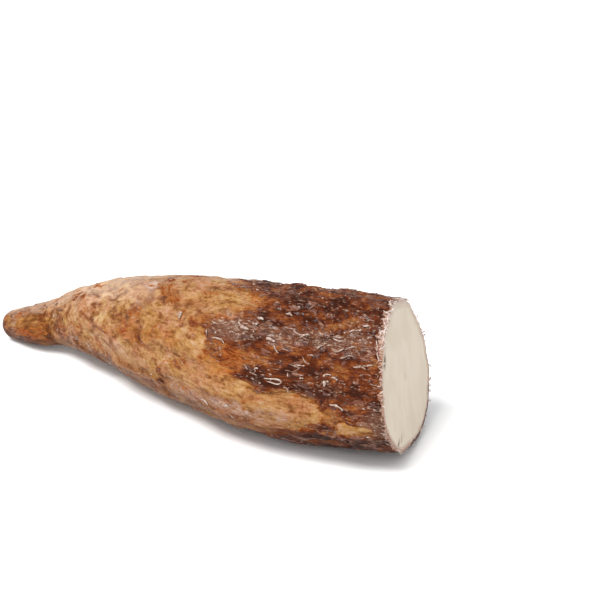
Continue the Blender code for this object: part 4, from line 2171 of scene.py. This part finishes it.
@dataclass
class BarkCurls(Litter):
    """Shreds of waxed bark that have rolled up, pale along their backs, with shade painted on their sides.

    A pair is the least and the most of what is drawn, and for the headings and the turns the mean and the
    spread. The length range is the least length and the most that is added to it, and the widening is the
    share of the length that is added to the width.
    """

    name: str = "bark_curls"
    seed: int = 53
    count: int = 260
    finish: ScrapFinish = ROLLED_BARK
    odds: Odds = Odds((12.0, 2.0), 0.02, 0.5, (-0.1, 0.3), 0.3)
    length_range: Pair = (1.0, 3.6)
    widths: Pair = (0.3, 0.55)
    widening: float = 0.08
    headings: Pair = (4.0, 22.0)
    turns: Pair = (0.0, 20.0)
    lifts: Pair = (0.0, 0.5)
    heights: Pair = (0.3, 0.5)
    sway: float = 10.0

    def scatter(self) -> None:
        """Lay the shreds of the picture, then others like them over the rest of the outer bark."""
        for strip in CURLS:
            self.lay_strip(strip)
        least, more = self.length_range
        for along, angle in self.spots(self.odds):
            length = least + more * self.draw.random() ** 2
            self.lay_strip(Strip(
                along,
                angle,
                length,
                width=self.draw.uniform(*self.widths) + self.widening * length,
                heading=self.draw.gauss(*self.headings),
                turn=self.draw.gauss(*self.turns),
                lift=self.draw.uniform(*self.lifts),
                height=self.draw.uniform(*self.heights),
                shade=self.draw.random() ** 2,
                sway=self.sway,
            ))


@dataclass(kw_only=True)
class FreeStrips(Litter):
    """Strips that stand off the bark, scattered by their ranges.

    A pair is the least and the most of what is drawn, and for the headings and the turns the mean and the
    spread.
    """

    lengths: Pair
    widths: Pair
    headings: Pair
    turns: Pair
    lifts: Pair
    height: float
    shades: Pair
    sway: float
    reach: float

    def lay_free(self, along: float, angle: float) -> None:
        """Lay one strip of drawn size and form at one place."""
        self.lay_strip(Strip(
            along,
            angle,
            length=self.draw.uniform(*self.lengths),
            width=self.draw.uniform(*self.widths),
            heading=self.draw.gauss(*self.headings),
            turn=self.draw.gauss(*self.turns),
            lift=self.draw.uniform(*self.lifts),
            height=self.height,
            shade=self.draw.uniform(*self.shades),
            sway=self.sway,
            reach=self.reach,
        ))


@dataclass
class RimShreds(FreeStrips):
    """Frayed strips of peel round the cut.

    Attributes:
        crowded: the frayed parts of the rim, each from one angle to another, with its crowding.
        elsewhere: the crowding of the rest of the rim.
        most_crowded: the crowding with which every draw is kept.
        inwards: the range of how far before the rim the middle of a strip lies.
    """

    name: str = "rim_shreds"
    seed: int = 37
    count: int = 140
    finish: ScrapFinish = FRAYED_PEEL
    lengths: Pair = (1.2, 3.6)
    widths: Pair = (0.35, 0.8)
    headings: Pair = (0.0, 50.0)
    turns: Pair = (0.0, 45.0)
    lifts: Pair = (0.15, 0.9)
    height: float = 0.3
    shades: Pair = (0.0, 1.0)
    sway: float = 24.0
    reach: float = 0.9
    crowded: tuple[Triple, ...] = ((60.0, 128.0, 5.0), (128.0, 170.0, 1.6), (195.0, 250.0, 2.2))
    elsewhere: float = 0.7
    most_crowded: float = 5.0
    inwards: Pair = (-0.6, 1.4)

    def scatter(self) -> None:
        """Lay the strips of the picture, then others, crowded where it shows the peel most frayed."""
        for strip in TOP_SHREDS:
            self.lay_strip(replace(strip, along=self.surface.end + strip.along))
        while self.scraps < self.count:
            angle = self.draw.uniform(0.0, 360.0)
            crowding = (crowd for low, high, crowd in self.crowded if low < angle < high)
            if self.draw.random() * self.most_crowded <= next(crowding, self.elsewhere):
                self.lay_free(self.surface.end - self.draw.uniform(*self.inwards), angle)


@dataclass
class Rootlets(FreeStrips):
    """Fine dry rootlets, most of them low on both sides.

    Attributes:
        margins: how far they keep from the first station and from the rim.
        sides: the angles round which they grow.
        side_spread: how far they wander from those.
    """

    name: str = "rootlets"
    seed: int = 71
    count: int = 46
    finish: ScrapFinish = DRY_ROOTLET
    lengths: Pair = (2.5, 6.5)
    widths: Pair = (0.22, 0.36)
    headings: Pair = (10.0, 40.0)
    turns: Pair = (0.0, 50.0)
    lifts: Pair = (0.1, 1.6)
    height: float = 0.5
    shades: Pair = (0.2, 1.0)
    sway: float = 10.0
    reach: float = 0.0
    margins: Pair = (28.0, 6.0)
    sides: Pair = (222.0, 318.0)
    side_spread: float = 16.0

    def scatter(self) -> None:
        """Lay the rootlets."""
        start, end = self.margins
        while self.scraps < self.count:
            along = self.draw.uniform(start, self.surface.end - end)
            self.lay_free(along, self.draw.choice(self.sides) + self.draw.gauss(0.0, self.side_spread))


@dataclass(frozen=True)
class Lamp:
    """One broad lamp, far away.

    Attributes:
        name: its name.
        azimuth: where it stands, counted from -Y towards +X.
        elevation: how high it stands.
        width: how wide it looks from the root.
        power: how much light it throws.
    """

    name: str
    azimuth: float
    elevation: float
    width: float
    power: float


@dataclass(frozen=True)
class Studio:
    """A plain white floor under soft light, and the camera.

    The target, the distance and the size of the floor are in metres. An azimuth is counted from -Y towards
    +X, and the camera looks at the target from its azimuth and elevation.
    """

    target: Triple = (0.0104, 0.0804, 0.0172)
    distance: float = 0.9
    azimuth: float = 29.92
    elevation: float = 25.0
    lens: float = 112.94
    sensor: float = 36.0
    floor_size: float = 8.0
    floor_white: float = 0.93
    sky: float = 0.60
    lamps: tuple[Lamp, ...] = (
        Lamp("key", -25.0, 60.0, 24.0, 2.6),
        Lamp("top", 10.0, 52.0, 70.0, 1.5),
    )

    def direction(self, azimuth: float, elevation: float) -> Vector:
        """Give the unit vector towards what stands at one azimuth and elevation."""
        turn, rise = math.radians(azimuth), math.radians(elevation)
        return Vector((math.sin(turn) * math.cos(rise), -math.cos(turn) * math.cos(rise), math.sin(rise)))

    def build_camera(self) -> None:
        """Place the camera at the angle of the photograph."""
        lens = bpy.data.cameras.new("camera")
        lens.lens = self.lens
        lens.sensor_width = self.sensor
        camera = bpy.data.objects.new("camera", lens)
        camera.location = Vector(self.target) + self.direction(self.azimuth, self.elevation) * self.distance
        camera.rotation_euler = (math.radians(90.0 - self.elevation), 0.0, math.radians(self.azimuth))
        bpy.context.scene.collection.objects.link(camera)
        bpy.context.scene.camera = camera

    def build_floor(self) -> None:
        """Lay the floor."""
        half = self.floor_size / 2.0
        corners = [(-half, -half, 0.0), (half, -half, 0.0), (half, half, 0.0), (-half, half, 0.0)]
        mesh = bpy.data.meshes.new("floor")
        mesh.from_pydata(corners, [], [(0, 1, 2, 3)])
        graph = Graph("white floor")
        graph.set(Base_Color=(self.floor_white,) * 3, Roughness=0.8, Specular_IOR_Level=0.2)
        mesh.materials.append(graph.material)
        floor = bpy.data.objects.new("floor", mesh)
        bpy.context.scene.collection.objects.link(floor)
        floor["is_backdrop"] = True

    def build_light(self) -> None:
        """Set the white sky and the lamps."""
        scene = bpy.context.scene
        scene.world = bpy.data.worlds.new("sky")
        scene.world.use_nodes = True
        sky = scene.world.node_tree.nodes["Background"]
        sky.inputs["Color"].default_value = (1.0, 1.0, 1.0, 1.0)
        sky.inputs["Strength"].default_value = self.sky
        for lamp in self.lamps:
            light = bpy.data.lights.new(lamp.name, "SUN")
            light.energy = lamp.power
            light.angle = math.radians(lamp.width)
            stand = bpy.data.objects.new(lamp.name, light)
            stand.location = self.direction(lamp.azimuth, lamp.elevation)
            stand.rotation_euler = (-stand.location).to_track_quat("-Z", "Y").to_euler()
            scene.collection.objects.link(stand)
        scene.view_settings.view_transform = "Standard"
        scene.view_settings.look = "None"

    def build(self) -> None:
        """Set up the whole studio."""
        self.build_camera()
        self.build_floor()
        self.build_light()


def write_sizes() -> None:
    """Work out the box of the plain solid and the box of the dressed root."""
    boxes = {
        name: [[round(value, 6) for value in corner] for corner in box]
        for name, box in (("cad", CAD_BOX), ("visual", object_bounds()))
    }


def main() -> None:
    """Build the studio and every piece, and report each one."""
    logging.basicConfig(level=logging.INFO, format="%(name)s: %(message)s")
    Studio().build()
    LOG.info("studio built")
    body = RootBody(RootForm())
    finishes = [finish.build() for finish in (BarkFinish(), PeelFinish(), FleshFinish())]
    pieces = [body.build(finishes)]
    surface = body.surface()
    for litter in (BarkFlakes, BarkCurls, WaxFlecks, RimShreds, Rootlets):
        pieces.append(litter(surface).build())
    for piece in pieces:
        LOG.info("%s: %d faces", piece.name, len(piece.data.polygons))
    write_sizes()


if __name__ == "__main__":
    main()
